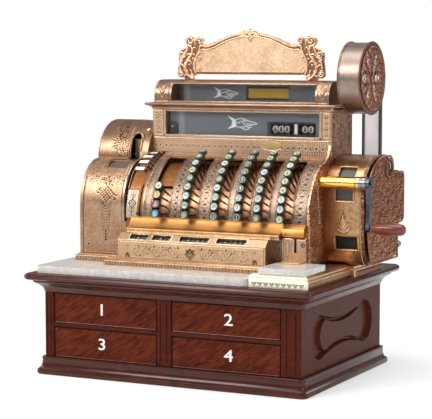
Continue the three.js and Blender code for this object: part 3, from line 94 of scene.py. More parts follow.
class Shader:
    """A new material on one Principled surface, with short calls that add its nodes."""

    def __init__(self, name, **surface):
        self.material = bpy.data.materials.new(name)
        self.material.use_nodes = True
        self.tree = self.material.node_tree
        self.surface = self.tree.nodes["Principled BSDF"]
        self.place = self.node("TexCoord").outputs["Object"]
        self.finish(**surface)

    def put(self, target, value):
        """Links or sets one socket."""
        if isinstance(value, bpy.types.NodeSocket):
            self.tree.links.new(value, target)
        elif isinstance(value, tuple) and len(value) == 3 and len(target.default_value) == 4:
            target.default_value = (*value, 1)
        else:
            target.default_value = value

    def fill(self, node, inputs):
        for name, value in inputs.items():
            self.put(node.inputs[name.replace("_", " ")], value)
        return node

    def node(self, kind, settings=None, **inputs):
        node = self.tree.nodes.new("ShaderNode" + kind)
        for name, value in (settings or {}).items():
            setattr(node, name, value)
        return self.fill(node, inputs)

    def noise(self, size, detail=3, rough=0.55, stretch=None, distortion=0.0, lean=None):
        """Noise from 0 to 1 with features about size millimetres across, which can be drawn out
        along the axes, and made to lean up from X by an angle in degrees."""
        place = self.place
        if lean is not None:
            place = self.node("Mapping", Vector=place, Rotation=(0, math.radians(lean), 0)).outputs["Vector"]
        if stretch:
            place = self.node("Mapping", Vector=place, Scale=stretch).outputs["Vector"]
        return self.node("TexNoise", Vector=place, Scale=1 / (size * MM), Detail=detail, Roughness=rough,
            Distortion=distortion).outputs["Fac"]

    def spread(self, value, low, high):
        """A value from 0 to 1 turned into one from low to high."""
        return self.node("MapRange", Value=value, To_Min=low, To_Max=high).outputs["Result"]

    def across(self, start, end):
        """0 to 1 between two places along X, in millimetres."""
        spot = self.node("SeparateXYZ", Vector=self.place).outputs["X"]
        return self.node("MapRange", {"interpolation_type": "SMOOTHSTEP"}, Value=spot, From_Min=start * MM,
            From_Max=end * MM).outputs["Result"]

    def math(self, operation, a, b, clamp=False):
        node = self.node("Math", {"operation": operation, "use_clamp": clamp})
        self.put(node.inputs[0], a)
        self.put(node.inputs[1], b)
        return node.outputs["Value"]

    def total(self, first, share, *others):
        """The sum of values, each times its share."""
        part = self.math("MULTIPLY", first, share)
        return self.math("ADD", part, self.total(*others)) if others else part

    def ramp(self, factor, stops):
        """Colour or grey from 0 to 1 along stops of (place, colour)."""
        return set_stops(self.node("ValToRGB", Fac=factor), stops).outputs["Color"]

    def mix(self, factor, a, b):
        node = self.node("Mix", {"data_type": "RGBA"})
        for socket, value in ((0, factor), (6, a), (7, b)):
            self.put(node.inputs[socket], value)
        return node.outputs[2]

    def bump(self, height, depth, strength):
        """Bump of a depth in millimetres from a height of 0 to 1."""
        return self.node("Bump", Height=height, Distance=depth * MM, Strength=strength).outputs["Normal"]

    def finish(self, **surface):
        self.fill(self.surface, surface)
        return self.material


def brass(name, light, dark, rough, grain=0.03, patina=0.35, relief=False, speckle=0.6, metallic=1.0, shade=None):
    """Cast or rolled brass: cloudy tarnish, specks, and dark hollows where relief is told.

    Shade is a painted shadow: a place along X where a darker colour starts, one where it has faded, and the shadow's
    colour.
    """
    s = Shader(name, Metallic=metallic)
    cloud = s.math("SUBTRACT", s.noise(38, 4), 0.5)
    speck = s.math("SUBTRACT", s.noise(5.5, 5, 0.75), 0.5)
    uneven = s.total(cloud, 1.1, speck, 2.6 * speckle)
    tarnish = s.math("ADD", s.math("MULTIPLY", uneven, 0.5 + patina), patina * 0.88, clamp=True)
    colour = s.mix(tarnish, light, dark)
    # painted shadow: the shade colour covers the low end of X and fades out along it
    if shade:
        colour = s.mix(s.across(shade[0], shade[1]), shade[2], colour)
    if relief:
        deep, glow = tuple(0.28 * c for c in dark), tuple(min(1.0, 1.12 * c) for c in light)
        for layer, share, tint in (("hollow", 0.95, deep), ("ridge", 0.55, glow)):
            amount = s.node("Attribute", {"attribute_name": layer}).outputs["Fac"]
            colour = s.mix(s.math("MULTIPLY", amount, share, clamp=True), colour, tint)
    return s.finish(Base_Color=colour, Roughness=s.spread(s.noise(14), *rough),
        Normal=s.bump(s.noise(1.1), grain, 0.6))


def stippled(name):
    """Cast metal with a dark, grainy ground and bright worn grains."""
    s = Shader(name, Metallic=1.0, Roughness=0.42)
    grains = s.total(s.noise(3.4, 3, 0.75), 0.55, s.noise(7.5, 4, 0.7, distortion=2.4), 0.45)
    colour = s.ramp(grains, [(0.40, (0.045, 0.014, 0.009)), (0.5, (0.19, 0.075, 0.04)),
        (0.58, (0.42, 0.22, 0.13)), (0.66, (0.72, 0.5, 0.34))])
    return s.finish(Base_Color=colour, Normal=s.bump(grains, 1.6, 0.9))


def wood(name, light, dark, figure, rough=0.34, coat=0.0, slant=None, spec=0.07):
    """Polished mahogany with long grain along X, pores and a cloudy figure."""
    s = Shader(name, Coat_Weight=coat, Coat_Roughness=0.16, Specular_IOR_Level=spec)
    grain = s.noise(2.6, 5, 0.65, (0.06, 1, 1), 0.4)
    flame = s.noise(34, 3, 0.6, (0.45, 1, 1), figure)
    if slant is None:
        blend = s.total(grain, 0.45, flame, 0.45, s.noise(7, 4, 0.7, (0.45, 1, 1), 1.2), 0.25)
    else:
        blend = s.total(s.noise(7.5, 4, 0.62, (0.2, 1, 1), 0.8, slant), 0.95, grain, 0.22)
    colour = s.ramp(blend, [(0.36, dark), (0.56, tuple((a + b) / 2 for a, b in zip(light, dark))), (0.78, light)])
    pores = s.ramp(s.noise(0.9, 2, stretch=(0.06, 1, 1)), [(0.3, 0.0), (0.5, 1.0)])
    return s.finish(Base_Color=colour, Roughness=s.spread(flame, rough - 0.06, rough + 0.1),
        Normal=s.bump(pores, 0.06, 0.35))


def paint(name, colour, other, rough=0.45, size=20, metallic=0.0, glow=0.0, spec=0.5):
    """A painted, printed or enamelled surface with a little cloud and grain; glow is painted light, given off in the
    surface's own colour.
    """
    s = Shader(name, Metallic=metallic, Emission_Color=colour, Emission_Strength=glow, Specular_IOR_Level=spec)
    return s.finish(Base_Color=s.mix(s.noise(size, 4), colour, other),
        Roughness=s.spread(s.noise(size / 3), rough - 0.06, rough + 0.08), Normal=s.bump(s.noise(0.8), 0.02, 0.5))


def panel_paint(name):
    """Slate-grey enamel with a painted reflection: a paler upright band near the left end."""
    s = Shader(name)
    # painted reflection: a paler upright band between X -106 and -84 mm
    painted_reflection = s.math("MULTIPLY", s.across(-106, -98), s.math("SUBTRACT", 1.0, s.across(-92, -84)))
    shade = s.mix(s.noise(60, 4), (0.135, 0.147, 0.165), (0.11, 0.12, 0.135))
    colour = s.mix(s.math("MULTIPLY", painted_reflection, 0.65), shade, (0.27, 0.29, 0.30))
    return s.finish(Base_Color=colour, Roughness=s.spread(s.noise(20), 0.34, 0.46),
        Normal=s.bump(s.noise(0.8), 0.02, 0.5))


def marble_stone(name):
    s = Shader(name, Coat_Weight=0.3, Coat_Roughness=0.08)
    vein = s.ramp(s.noise(70, 8, 0.72, distortion=2.2), [(0.44, 0.0), (0.5, 1.0), (0.56, 0.0)])
    colour = s.mix(s.noise(24, 5), (0.70, 0.66, 0.62), (0.52, 0.50, 0.47))
    colour = s.mix(s.math("MULTIPLY", vein, 0.45), colour, (0.33, 0.34, 0.36))
    return s.finish(Base_Color=colour, Roughness=0.24, Normal=s.bump(s.noise(1.5), 0.02, 0.3))


def window_glass(name):
    s = Shader(name, Transmission_Weight=1.0, IOR=1.45, Base_Color=(0.93, 0.96, 0.97), Alpha=0.22)
    return s.finish(Roughness=s.spread(s.noise(30, 4), 0.0, 0.05))


LOOK = {}


def finishes(kind, rows):
    """Makes materials of one kind, each from its arguments, the last of which may be named ones."""
    for name, row in rows.items():
        named = row[-1] if row and isinstance(row[-1], dict) else {}
        LOOK[name] = kind(name, *(row[:-1] if named else row), **named)


def castings(rows):
    """Brass of castings with relief, from rows as above."""
    finishes(lambda name, *row, **named: brass(f"{name}_brass", *row, relief=True, **named), rows)


# Light and dark colour, roughness, grain and tarnish of each metal, named after its slot, use or node
finishes(brass, {
    "brass": ((0.80, 0.50, 0.32), (0.46, 0.23, 0.12), (0.24, 0.42)),
    "pale_brass": ((0.83, 0.56, 0.30), (0.52, 0.28, 0.12), (0.2, 0.36)),
    "pale_plate": ((0.50, 0.39, 0.30), (0.33, 0.23, 0.165), (0.46, 0.6), 0.01, 0.3, True),
    "pale_lip": ((0.50, 0.40, 0.31), (0.33, 0.24, 0.16), (0.2, 0.36), 0.004, 0.3, {"speckle": 0.3}),
    "inner_copper": ((0.40, 0.21, 0.12), (0.10, 0.04, 0.025), (0.24, 0.4), 0.01, 0.45),
    "stem_copper": ((0.52, 0.32, 0.19), (0.22, 0.11, 0.06), (0.2, 0.36), 0.01, 0.4),
    # painted light: brighter and half metallic, so that the backing still shows in the shade inside the barrel's arch
    "arch_inner": ((0.62, 0.47, 0.24), (0.16, 0.11, 0.055), (0.4, 0.6), 0.05, 0.6, {"metallic": 0.55}),
    "plate_relief": ((0.54, 0.24, 0.13), (0.11, 0.034, 0.017), (0.34, 0.5), 0.05, 0.5, True, 1.4),
    "side_relief": ((0.66, 0.40, 0.28), (0.22, 0.10, 0.06), (0.34, 0.5), 0.05, 0.5, True, 1.4),
    "dark_brass": ((0.42, 0.22, 0.13), (0.17, 0.07, 0.04), (0.34, 0.5), 0.03, 0.5),
    "polished_brass": ((0.90, 0.56, 0.13), (0.62, 0.30, 0.05), (0.08, 0.2), 0.001, 0.3, {"speckle": 0.1}),
    "steel": ((0.30, 0.31, 0.34), (0.10, 0.10, 0.11), (0.16, 0.32), 0.01, 0.4),
    "arm_steel": ((0.12, 0.13, 0.16), (0.03, 0.033, 0.04), (0.22, 0.36), 0.01, 0.4),
    "grille_copper": ((0.50, 0.25, 0.15), (0.18, 0.075, 0.04), (0.3, 0.46), 0.03, 0.5),
    # painted highlight: pale cream brass for the pedestal's front, as if blown out by light
    "cream_brass": ((1.0, 0.97, 0.76), (1.0, 0.88, 0.60), (0.3, 0.45), 0.002, 0.25, True, 0.15, 0.1),
    "dark_relief": ((0.34, 0.18, 0.11), (0.13, 0.055, 0.03), (0.34, 0.5), 0.03, 0.5, True),
    "bright_trim": ((0.95, 0.78, 0.60), (0.72, 0.50, 0.34), (0.16, 0.3), 0.01, 0.3),
    "frame_bright": ((0.95, 0.74, 0.5), (0.75, 0.5, 0.3), (0.16, 0.3), 0.01, 0.3),
    "plate_gold": ((0.72, 0.55, 0.24), (0.46, 0.32, 0.12), (0.3, 0.44), 0.01, 0.4),
})
castings({
    "left_housing": ((0.60, 0.385, 0.25), (0.27, 0.14, 0.075), (0.32, 0.48), 0.03, 0.6),
    "barrel_cover": ((0.40, 0.24, 0.15), (0.18, 0.095, 0.05), (0.26, 0.42), 0.02, 0.45),
    "slide_bank": ((0.34, 0.145, 0.055), (0.14, 0.046, 0.013), (0.42, 0.56), 0.02, 0.45),
    "key_plate": ((0.36, 0.255, 0.19), (0.15, 0.085, 0.05), (0.3, 0.46), 0.03, 0.5, {"speckle": 1.5}),
    "counter_box": ((0.74, 0.50, 0.31), (0.40, 0.23, 0.12), (0.28, 0.42), 0.03, 0.45),
    "top_sign": ((0.98, 0.71, 0.48), (0.62, 0.36, 0.19), (0.3, 0.44), 0.1, 0.4, {"speckle": 1.1}),
    "indicator_frame": ((0.84, 0.56, 0.37), (0.42, 0.25, 0.15), (0.3, 0.44), 0.03, 0.5),
    "upper_frame": ((0.44, 0.28, 0.19), (0.21, 0.115, 0.07), (0.26, 0.42), 0.03, 0.45),
    "indicator_cornice": ((0.58, 0.41, 0.30), (0.26, 0.14, 0.09), (0.24, 0.4), 0.02, 0.45),
    # painted shadow of the side casting over the left end of the printer's front
    "printer_housing": ((0.70, 0.45, 0.25), (0.30, 0.15, 0.065), (0.24, 0.42), 0.04, 0.5,
        {"shade": (268, 312, (0.24, 0.10, 0.045)), "speckle": 1.0}),
    "side_casting": ((0.95, 0.58, 0.38), (0.28, 0.11, 0.05), (0.28, 0.44), 0.06, 0.55, {"speckle": 1.8}),
    "machine_base": ((0.72, 0.47, 0.29), (0.34, 0.19, 0.10), (0.28, 0.44), 0.03, 0.5),
    "lock_block": ((0.74, 0.50, 0.32), (0.36, 0.20, 0.11), (0.28, 0.44), 0.03, 0.5),
    "drum_case": ((0.34, 0.265, 0.22), (0.17, 0.12, 0.09), (0.3, 0.44), 0.01, 0.4),
    "front_ledge": ((0.58, 0.285, 0.09), (0.31, 0.13, 0.036), (0.34, 0.46), 0.001, 0.45, {"speckle": 0.3}),
    "back_cover": ((0.66, 0.44, 0.28), (0.36, 0.2, 0.11), (0.34, 0.48), 0.03, 0.5),
})
finishes(wood, {
    "mahogany": ((0.112, 0.02, 0.008), (0.02, 0.004, 0.003), 1.2),
    "mahogany_edge": ((0.092, 0.019, 0.009), (0.016, 0.004, 0.003), 1.2, 0.2, 0.3, {"spec": 0.16}),
    "mahogany_front": ((0.155, 0.026, 0.008), (0.010, 0.002, 0.0015), 2.4, {"slant": 32}),
    "grip_wood": ((0.24, 0.055, 0.02), (0.07, 0.014, 0.007), 0.8, 0.24, 0.25, {"spec": 0.3}),
})
finishes(paint, {
    "window_dark": ((0.03, 0.028, 0.026), (0.06, 0.055, 0.05), 0.3),
    # painted shade for dark gaps
    "gap_black": ((0.006, 0.005, 0.004), (0.012, 0.009, 0.007), 0.9, {"spec": 0.05}),
    "wheels": ((0.012, 0.012, 0.013), (0.03, 0.028, 0.027), 0.4),
    "flag": ((0.50, 0.33, 0.03), (0.36, 0.22, 0.015), 0.5, 12),
    # painted light: the paper glows faintly though it is no lamp
    "paper": ((0.97, 0.96, 1.0), (0.90, 0.89, 0.97), 0.8, 30, {"glow": 0.3}),
    "disc_blue": ((0.10, 0.30, 0.58), (0.22, 0.45, 0.68), 0.25, 6),
    "disc_pink": ((0.42, 0.13, 0.17), (0.30, 0.08, 0.12), 0.25, 6),
    "disc_yellow": ((0.62, 0.52, 0.14), (0.5, 0.4, 0.1), 0.25, 6),
    "disc_bone": ((0.68, 0.66, 0.58), (0.5, 0.5, 0.42), 0.25, 6),
    "disc_white": ((0.60, 0.645, 0.64), (0.46, 0.50, 0.49), 0.22, 9),
    "disc_pale": ((0.46, 0.53, 0.47), (0.33, 0.39, 0.34), 0.22, 9),
    "disc_cream": ((0.54, 0.55, 0.37), (0.40, 0.42, 0.28), 0.22, 9),
    "disc_green": ((0.26, 0.31, 0.21), (0.16, 0.2, 0.13), 0.22, 9),
    "disc_grey": ((0.38, 0.45, 0.46), (0.28, 0.34, 0.36), 0.22, 9),
    "disc_black": ((0.02, 0.024, 0.02), (0.05, 0.055, 0.045), 0.25, 9),
    "key_ring": ((0.13, 0.155, 0.10), (0.05, 0.06, 0.04), 0.28, 8, 0.5),
    "ink": ((0.012, 0.014, 0.012), (0.03, 0.03, 0.028), 0.4),
    "ivory": ((0.80, 0.80, 0.74), (0.66, 0.67, 0.6), 0.3, 9),
    "digit": ((0.60, 0.60, 0.53), (0.44, 0.44, 0.38), 0.45, 6),
    "numeral_white": ((0.86, 0.85, 0.84), (0.78, 0.77, 0.76), 0.5, 12),
    # painted highlight along the drawers' bottom edges
    "worn_edge": ((0.42, 0.24, 0.2), (0.12, 0.04, 0.03), 0.4, 9),
    "hand_paint": ((0.78, 0.80, 0.82), (0.66, 0.68, 0.7), 0.5, 14),
    "window_black": ((0.012, 0.013, 0.015), (0.02, 0.02, 0.022), 0.35, 10),
    "divider_white": ((0.62, 0.64, 0.66), (0.5, 0.52, 0.54), 0.4),
    "label_enamel": ((0.86, 0.86, 0.86), (0.72, 0.72, 0.73), 0.3, 8),
    "label_ink": ((0.25, 0.25, 0.27), (0.4, 0.4, 0.42), 0.5),
    "stud_dark": ((0.06, 0.04, 0.03), (0.02, 0.016, 0.012), 0.22, 6, 0.8),
    # painted shade for the inside behind the printer's windows
    "window_card": ((0.085, 0.085, 0.072), (0.125, 0.12, 0.10), 0.5, 30),
    # painted shade for the insides of the slots
    "slot_black": ((0.008, 0.008, 0.008), (0.015, 0.014, 0.013), 0.5, 8),
    # painted shade for the inside behind the housing's window
    "housing_card": ((0.05, 0.042, 0.034), (0.11, 0.09, 0.075), 0.45, 6),
})
for name, kind in (("panel", panel_paint), ("marble", marble_stone), ("glass", window_glass), ("stippled", stippled)):
    LOOK[name] = kind(name)


# Pieces


def place_piece(obj, body, slot, *nodes):
    """Puts a piece on its body and says which CAD nodes it stands for; its slot is not used."""
    bpy.context.scene.collection.objects.link(obj)
    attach(obj, body)
    if nodes:
        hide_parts(*nodes)
    return obj


def smooth_by_angle(mesh, degrees):
    mesh.polygons.foreach_set("use_smooth", [True] * len(mesh.polygons))
    mesh.set_sharp_from_angle(angle=math.radians(degrees))


def soft_edges(obj, width):
    cut = obj.modifiers.new("soft_edges", "BEVEL")
    cut.width, cut.segments, cut.limit_method = width * MM, 2, "ANGLE"
    return cut


def split_finish(mesh, looks, chosen):
    """Gives the faces whose centre a test picks the second look."""
    for look in looks:
        mesh.materials.append(LOOK[look])
    for face in mesh.polygons:
        face.material_index = int(chosen(*(c / MM for c in face.center), face.normal))


def dress(node, looks, chosen=None, gone=None):
    """Shows a CAD node through a welded, bevelled copy in its looks, without the vertices that a test
    calls gone."""
    bm = bmesh.new()
    bm.from_mesh(frame["nodes"][node].data)
    bmesh.ops.remove_doubles(bm, verts=bm.verts, dist=0.004 * MM)
    bmesh.ops.dissolve_limit(bm, angle_limit=math.radians(1), verts=bm.verts, edges=bm.edges)
    if gone:
        bmesh.ops.delete(bm, geom=[v for v in bm.verts if gone(v.co.y / MM, v.co.z / MM)], context="VERTS")
    mesh = bpy.data.meshes.new(f"{node}_dressed")
    bm.to_mesh(mesh)
    bm.free()
    for name in ("custom_normal", "sharp_face"):
        if name in mesh.attributes:
            mesh.attributes.remove(mesh.attributes[name])
    mesh.materials.clear()
    split_finish(mesh, looks, chosen or (lambda x, y, z, normal: False))
    smooth_by_angle(mesh, 32)
    obj = bpy.data.objects.new(mesh.name, mesh)
    cut = soft_edges(obj, 0.6)
    cut.angle_limit = math.radians(35)
    cut.use_clamp_overlap = cut.harden_normals = True
    return place_piece(obj, NODE_BODY[node], NODE_SLOT[node], node)


CAP_RADIUS = 159.45  # the keys' plain caps rise past this distance from the banks' axis
STEM_RADIUS = 121  # nearer to it than this, the stems are dark


def from_axis(y, z):
    return math.hypot(y - BANK_AXIS[0], z - BANK_AXIS[1])


PLAIN = {"cabinet_top": "mahogany_edge", "cabinet_plinth": "mahogany_edge", "crank_arm": "arm_steel",
    "printer_side_plate": "stippled"}
SPLIT = {
    # painted highlight on the front faces of the pedestal
    "machine_base": ("cream_brass", lambda x, y, z, n: y < -205 and n.y < -0.25),
    "top_sign": ("dark_relief", lambda x, y, z, n: y < 46.6 and n.y < -0.5),
    "drum_case": ("window_dark", lambda x, y, z, n: z < 554),
}
for node in NODE_BODY:
    if node in SPLIT:
        dress(node, (node, SPLIT[node][0]), SPLIT[node][1])
    elif "key_" in node and node != "key_plate":
        dress(node, ("stem_copper", "inner_copper"), lambda x, y, z, n: from_axis(y, z) < STEM_RADIUS,
            lambda y, z: from_axis(y, z) > CAP_RADIUS)
    elif node != "front_ledge":
        dress(node, (PLAIN.get(node) or (node if node in LOOK else NODE_SLOT[node]),))


# Cast ornament

STROKE = 1.25  # widens every stroke, so that it still shows from the camera


def blurred(values, rounds=3):
    """Values softened over a few grid steps."""
    for _ in range(rounds):
        wide = np.pad(values, 1, mode="edge")
        values = (wide[:-2, 1:-1] + wide[2:, 1:-1] + wide[1:-1, :-2] + wide[1:-1, 2:] + 4 * values) / 8
    return values


class Relief:
    """Heights of ornament on a grid over a face, in millimetres: u runs across it and v up it."""

    def __init__(self, width, height, pitch=1.25):
        self.width, self.height, self.middle = width, height, width / 2
        self.u = np.linspace(0, width, round(width / pitch) + 1)
        self.v = np.linspace(0, height, round(height / pitch) + 1)
        self.rise = np.zeros((len(self.v), len(self.u)))
        self.kept = np.ones_like(self.rise, bool)

    def line(self, start, end, wide, thin=None, height=1.0):
        """A round-backed stroke whose half width runs from wide to thin."""
        thin = wide if thin is None else thin
        start, end = np.asarray(start, float), np.asarray(end, float)
        reach = max(wide, thin) * STROKE
        low, high = np.minimum(start, end) - reach, np.maximum(start, end) + reach
        columns, rows = (slice(*(np.searchsorted(grid, (low[k], high[k])) + (0, 1)))
            for k, grid in enumerate((self.u, self.v)))
        u, v = self.u[columns][None, :], self.v[rows][:, None]
        if not u.size or not v.size:
            return
        run = end - start
        along = np.clip(((u - start[0]) * run[0] + (v - start[1]) * run[1]) / max(run @ run, 1e-9), 0, 1)
        off = np.hypot(u - start[0] - along * run[0], v - start[1] - along * run[1])
        half = (wide + (thin - wide) * along) * STROKE
        back = np.sqrt(np.clip(1 - (off / np.maximum(half, 1e-6)) ** 2, 0, 1))
        np.maximum(self.rise[rows, columns], height * back * np.minimum(1, half / 1.1),
            out=self.rise[rows, columns])

    def draw(self, motif, at=(0, 0), turn=0.0, flip=False, height=1.0):
        """Raises every stroke of a motif, set at a place, turned in degrees or flipped."""
        for points, widths in moved(motif, at, turn, flip):
            for k in range(len(points) - 1):
                self.line(points[k], points[k + 1], widths[k], widths[k + 1], height)

    def pair(self, motif, centre, offset, turn=0.0):
        """A motif and its mirror image at either side of a centre line."""
        self.draw(motif, (centre + offset[0], offset[1]), turn)
        self.draw(motif, (centre - offset[0], offset[1]), -turn, True)

    def beads(self, start, end, step, radius):
        count = max(1, round(math.dist(start, end) / step))
        for k in range(count + 1):
            at = np.array(start) + (np.array(end) - start) * k / count
            self.line(at, at, radius, height=0.9)

    def frame(self, a, b, c, d, half, height=0.8):
        """A plain raised line round the rectangle from (a, b) to (c, d)."""
        for start, end in (((a, b), (c, b)), ((c, b), (c, d)), ((c, d), (a, d)), ((a, d), (a, b))):
            self.line(start, end, half, half, height)

    def border(self, inset, half):
        """A plain raised line round the face."""
        self.frame(inset, inset, self.width - inset, self.height - inset, half)

    def drop(self, outside):
        """Leaves out the part of the face where a function of u and v is true."""
        self.kept &= ~outside(*np.meshgrid(self.u, self.v))

    def piece(self, name, place, look, slot="brass", base=0.25, skirt=1.2, engraved=False):
        """The piece: place gives the points and the outward directions for u and v."""
        raised = np.clip(self.rise / 0.3, 0, 1)
        shallow = np.clip((blurred(raised) - raised) * 3.2, 0, 1)
        if engraved:
            self.rise = 0.4 * (1 - raised)
        points, out = place(*np.meshgrid(self.u, self.v))
        kept = self.kept
        edge = np.ones_like(kept)
        edge[1:-1, 1:-1] = ~(kept[1:-1, 1:-1] & kept[:-2, 1:-1] & kept[2:, 1:-1] & kept[1:-1, :-2] & kept[1:-1, 2:])
        height = np.where(edge, -skirt, self.rise + base)
        points = (points + out * height[..., None]) * MM
        index = np.arange(kept.size).reshape(kept.shape)
        whole = kept[:-1, :-1] & kept[1:, :-1] & kept[:-1, 1:] & kept[1:, 1:]
        faces = np.stack([index[:-1, :-1], index[:-1, 1:], index[1:, 1:], index[1:, :-1]], -1)[whole]
        if np.cross(points[1, 2] - points[1, 1], points[2, 1] - points[1, 1]) @ out[1, 1] < 0:
            faces = faces[:, ::-1]
        used, faces = np.unique(faces, return_inverse=True)
        mesh = bpy.data.meshes.new(name)
        mesh.from_pydata(points.reshape(-1, 3)[used].tolist(), [], faces.reshape(-1, 4).tolist())
        ridge = shallow if engraved else self.rise / max(self.rise.max(), 0.3)
        for label, values in (("hollow", raised if engraved else shallow), ("ridge", np.clip(ridge, 0, 1))):
            layer = mesh.attributes.new(label, "FLOAT", "POINT")
            layer.data.foreach_set("value", values.reshape(-1)[used].astype(np.float32))
        mesh.materials.append(LOOK[look])
        mesh.polygons.foreach_set("use_smooth", [True] * len(mesh.polygons))
        return place_piece(bpy.data.objects.new(name, mesh), ROOT, slot)


def flat(origin, across, up):
    """A plane from its corner and two unit directions."""
    origin, across, up = (np.array(a, float) for a in (origin, across, up))
    out = np.cross(across, up)
    return lambda u, v: (origin + u[..., None] * across + v[..., None] * up, np.broadcast_to(out, u.shape + (3,)))


class Profile:
    """A side view as a line of (y, z) points, walked by its length from the first one."""

    def __init__(self, *parts):
        line = np.array([point for part in parts for point in part], float)
        steps = np.hypot(*np.diff(line, axis=0).T)
        self.line = line[np.r_[True, steps > 1e-6]]
        self.along = np.r_[0, np.cumsum(steps[steps > 1e-6])]
        self.length = self.along[-1]

    def at(self, s):
        return [np.interp(s, self.along, self.line[:, k]) for k in (0, 1)]

    def face(self, left, start=0.0):
        """A place function: u runs along X from the left side, v along the profile from its start."""
        def place(u, v):
            s = v + start
            ahead, behind = self.at(np.minimum(s + 0.5, self.length)), self.at(np.maximum(s - 0.5, 0))
            run = [a - b for a, b in zip(ahead, behind)]
            size = np.hypot(*run)
            return np.stack([left + u, *self.at(s)], -1), np.stack([0 * u, -run[1] / size, run[0] / size], -1)
        return place


def arc_points(centre, radii, start, end, count=60):
    """Points of an ellipse in (y, z): 0 degrees is the front and 90 the top."""
    turn = np.radians(np.linspace(start, end, count))
    return np.stack([centre[0] - radii[0] * np.cos(turn), centre[1] + radii[1] * np.sin(turn)], -1)


# Motifs are lists of strokes, each a row of points and its half widths


def strokes(*lines):
    """Strokes from rows of points, each with its half widths or one for all of them."""
    return [(np.array(points, float), np.broadcast_to(np.array(widths, float), len(points)))
        for points, widths in lines]


def bead(at, wide):
    return strokes(([at, at], wide))


def moved(motif, at=(0, 0), turn=0.0, flip=False):
    c, s = math.cos(math.radians(turn)), math.sin(math.radians(turn))
    spin = np.array([[c, s], [-s, c]])
    return [(points * ((-1, 1) if flip else (1, 1)) @ spin + at, widths) for points, widths in motif]


def both(motif):
    return motif + moved(motif, flip=True)


def spun(motif, turns):
    """A motif repeated at turns in degrees about the origin."""
    return [stroke for turn in turns for stroke in moved(motif, turn=turn)]


QUARTERS = (0, 90, 180, 270)


def curl(radius, turns=1.3, start=0.0, hand=1, wide=1.0):
    """A scroll that winds in to a bead."""
    t = np.linspace(0, 1, 22)
    reach = radius * (1 - 0.86 * t)
    angle = math.radians(start) + hand * t * turns * 2 * math.pi
    points = np.stack([reach * np.cos(angle), reach * np.sin(angle)], -1)
    return strokes((points, wide * (0.55 + 0.45 * t))) + bead(points[-1], wide * 1.5)


def frond(length, wide, bend=0.0):
    """A leaf from the origin along +v, bent to one side."""
    t = np.linspace(0, 1, 9)
    points = np.stack([bend * t ** 2, length * t], -1)
    return strokes((points, wide * (0.3 + np.sin(math.pi * t ** 0.8) * 0.8) * (1.02 - 0.7 * t)))


def spray(count, length, wide, fan):
    """Leaves that open like a fan round +v."""
    leaves = []
    for k in range(count):
        turn = (k / (count - 1) - 0.5) * fan
        reach = length * (1 - 0.35 * abs(turn) / (fan / 2))
        leaves += moved(frond(reach, wide, 0.12 * reach * np.sign(-turn)), turn=turn)
    return leaves


def fern(length, pairs, reach, wide=1.0):
    """A drop of paired leaves that shrink down to a bead."""
    stem = strokes(([(0, 0), (0, -length)], [wide * 0.8, wide * 0.4])) + bead((0, -length), wide * 1.2)
    for k in range(pairs):
        size, foot = reach * (1 - 0.62 * k / pairs), (0.4, -length * (k + 0.4) / pairs)
        stem += both(moved(frond(size, wide * (1.15 - 0.5 * k / pairs), 0.2 * size), foot, -128))
    return stem


def feather(length, pairs, reach, wide):
    """A drop of plain paired strokes that point up and outwards and grow shorter."""
    shape = strokes(([(0, -length * 0.7), (0, -length)], wide * 0.7)) + bead((0, -length), wide * 1.6)
    for k in range(pairs):
        size, foot = reach * (1 - 0.65 * k / pairs), -length * (k + 0.9) / pairs
        line = [(wide * 1.6, foot), (size * 0.6, foot + size * 0.33), (size, foot + size * 0.75)]
        shape += both(strokes((line, wide)))
    return shape


def lattice(radius, gap, wide=0.85):
    """Woven ribbons in a diamond with a scroll and two leaves at each side of its corners."""
    shape, count, b = [], int(radius * 0.6 / gap), radius * 0.62
    for a in (k * gap for k in range(-count, count + 1)):
        shape += both(strokes(([((a - b) * 0.71, (a + b) * 0.71), ((a + b) * 0.71, (a - b) * 0.71)], wide)))
    leaf = strokes(([(0, 0), (radius * 0.08, radius * 0.26)], [wide * 1.3, wide * 0.6]))
    for flip in (False, True):
        corner = moved(curl(radius * 0.2, 1.25, 200, 1, wide), (radius * 0.42, radius * 0.86), flip=flip)
        shape += spun(corner + moved(leaf, (radius * 0.12, radius * 0.92), flip=flip), QUARTERS)
    return shape


def lace(radius, count, wide):
    """A ring of scrolls round a bead, with single leaves between them."""
    shape = ring(radius * 0.17, wide) + bead((0, 0), wide)
    leaf = strokes(([(0, radius * 0.62), (0, radius * 0.98)], [wide * 1.4, wide * 0.7]),
        ([(0, radius * 0.28), (0, radius * 0.4)], wide))
    for k in range(count):
        turn = 360 * k / count
        scroll = moved(curl(radius * 0.25, 1.35, 90, 1 - 2 * (k % 2), wide), (0, radius * 0.58))
        shape += moved(scroll, turn=turn) + moved(leaf, turn=turn + 180 / count)
    return shape


def rosette(radius, petals, wide=1.0):
    return bead((0, 0), radius * 0.22) + spun(frond(radius * 0.72, wide * radius / 9),
        [360 * k / petals for k in range(petals)])


def ring(radius, wide):
    t = np.linspace(0, 2 * math.pi, 37)
    return strokes((np.stack([radius * np.cos(t), radius * np.sin(t)], -1), wide))


def running(length, swing, period, wide=0.9):
    """A stem that winds along +v with a scroll and leaves in each bend."""
    count = max(2, round(length / period * 2))
    half = length / count
    v = np.linspace(0, length, count * 10 + 1)
    stem = strokes((np.stack([swing * np.sin(math.pi * v / half), v], -1), wide * 0.75))
    for k in range(count):
        side = 1 if k % 2 == 0 else -1
        stem += moved(curl(min(swing * 0.95, half * 0.42), 1.15, 90 * side, side, wide * 0.8),
            (-side * swing * 0.1, (k + 0.5) * half))
        stem += moved(frond(half * 0.45, wide, side * 1.5), (side * swing * 0.5, (k + 0.15) * half), -side * 62)
        stem += moved(frond(half * 0.4, wide * 0.9, -side), (-side * swing * 0.25, (k + 0.85) * half), side * 75)
    return stem


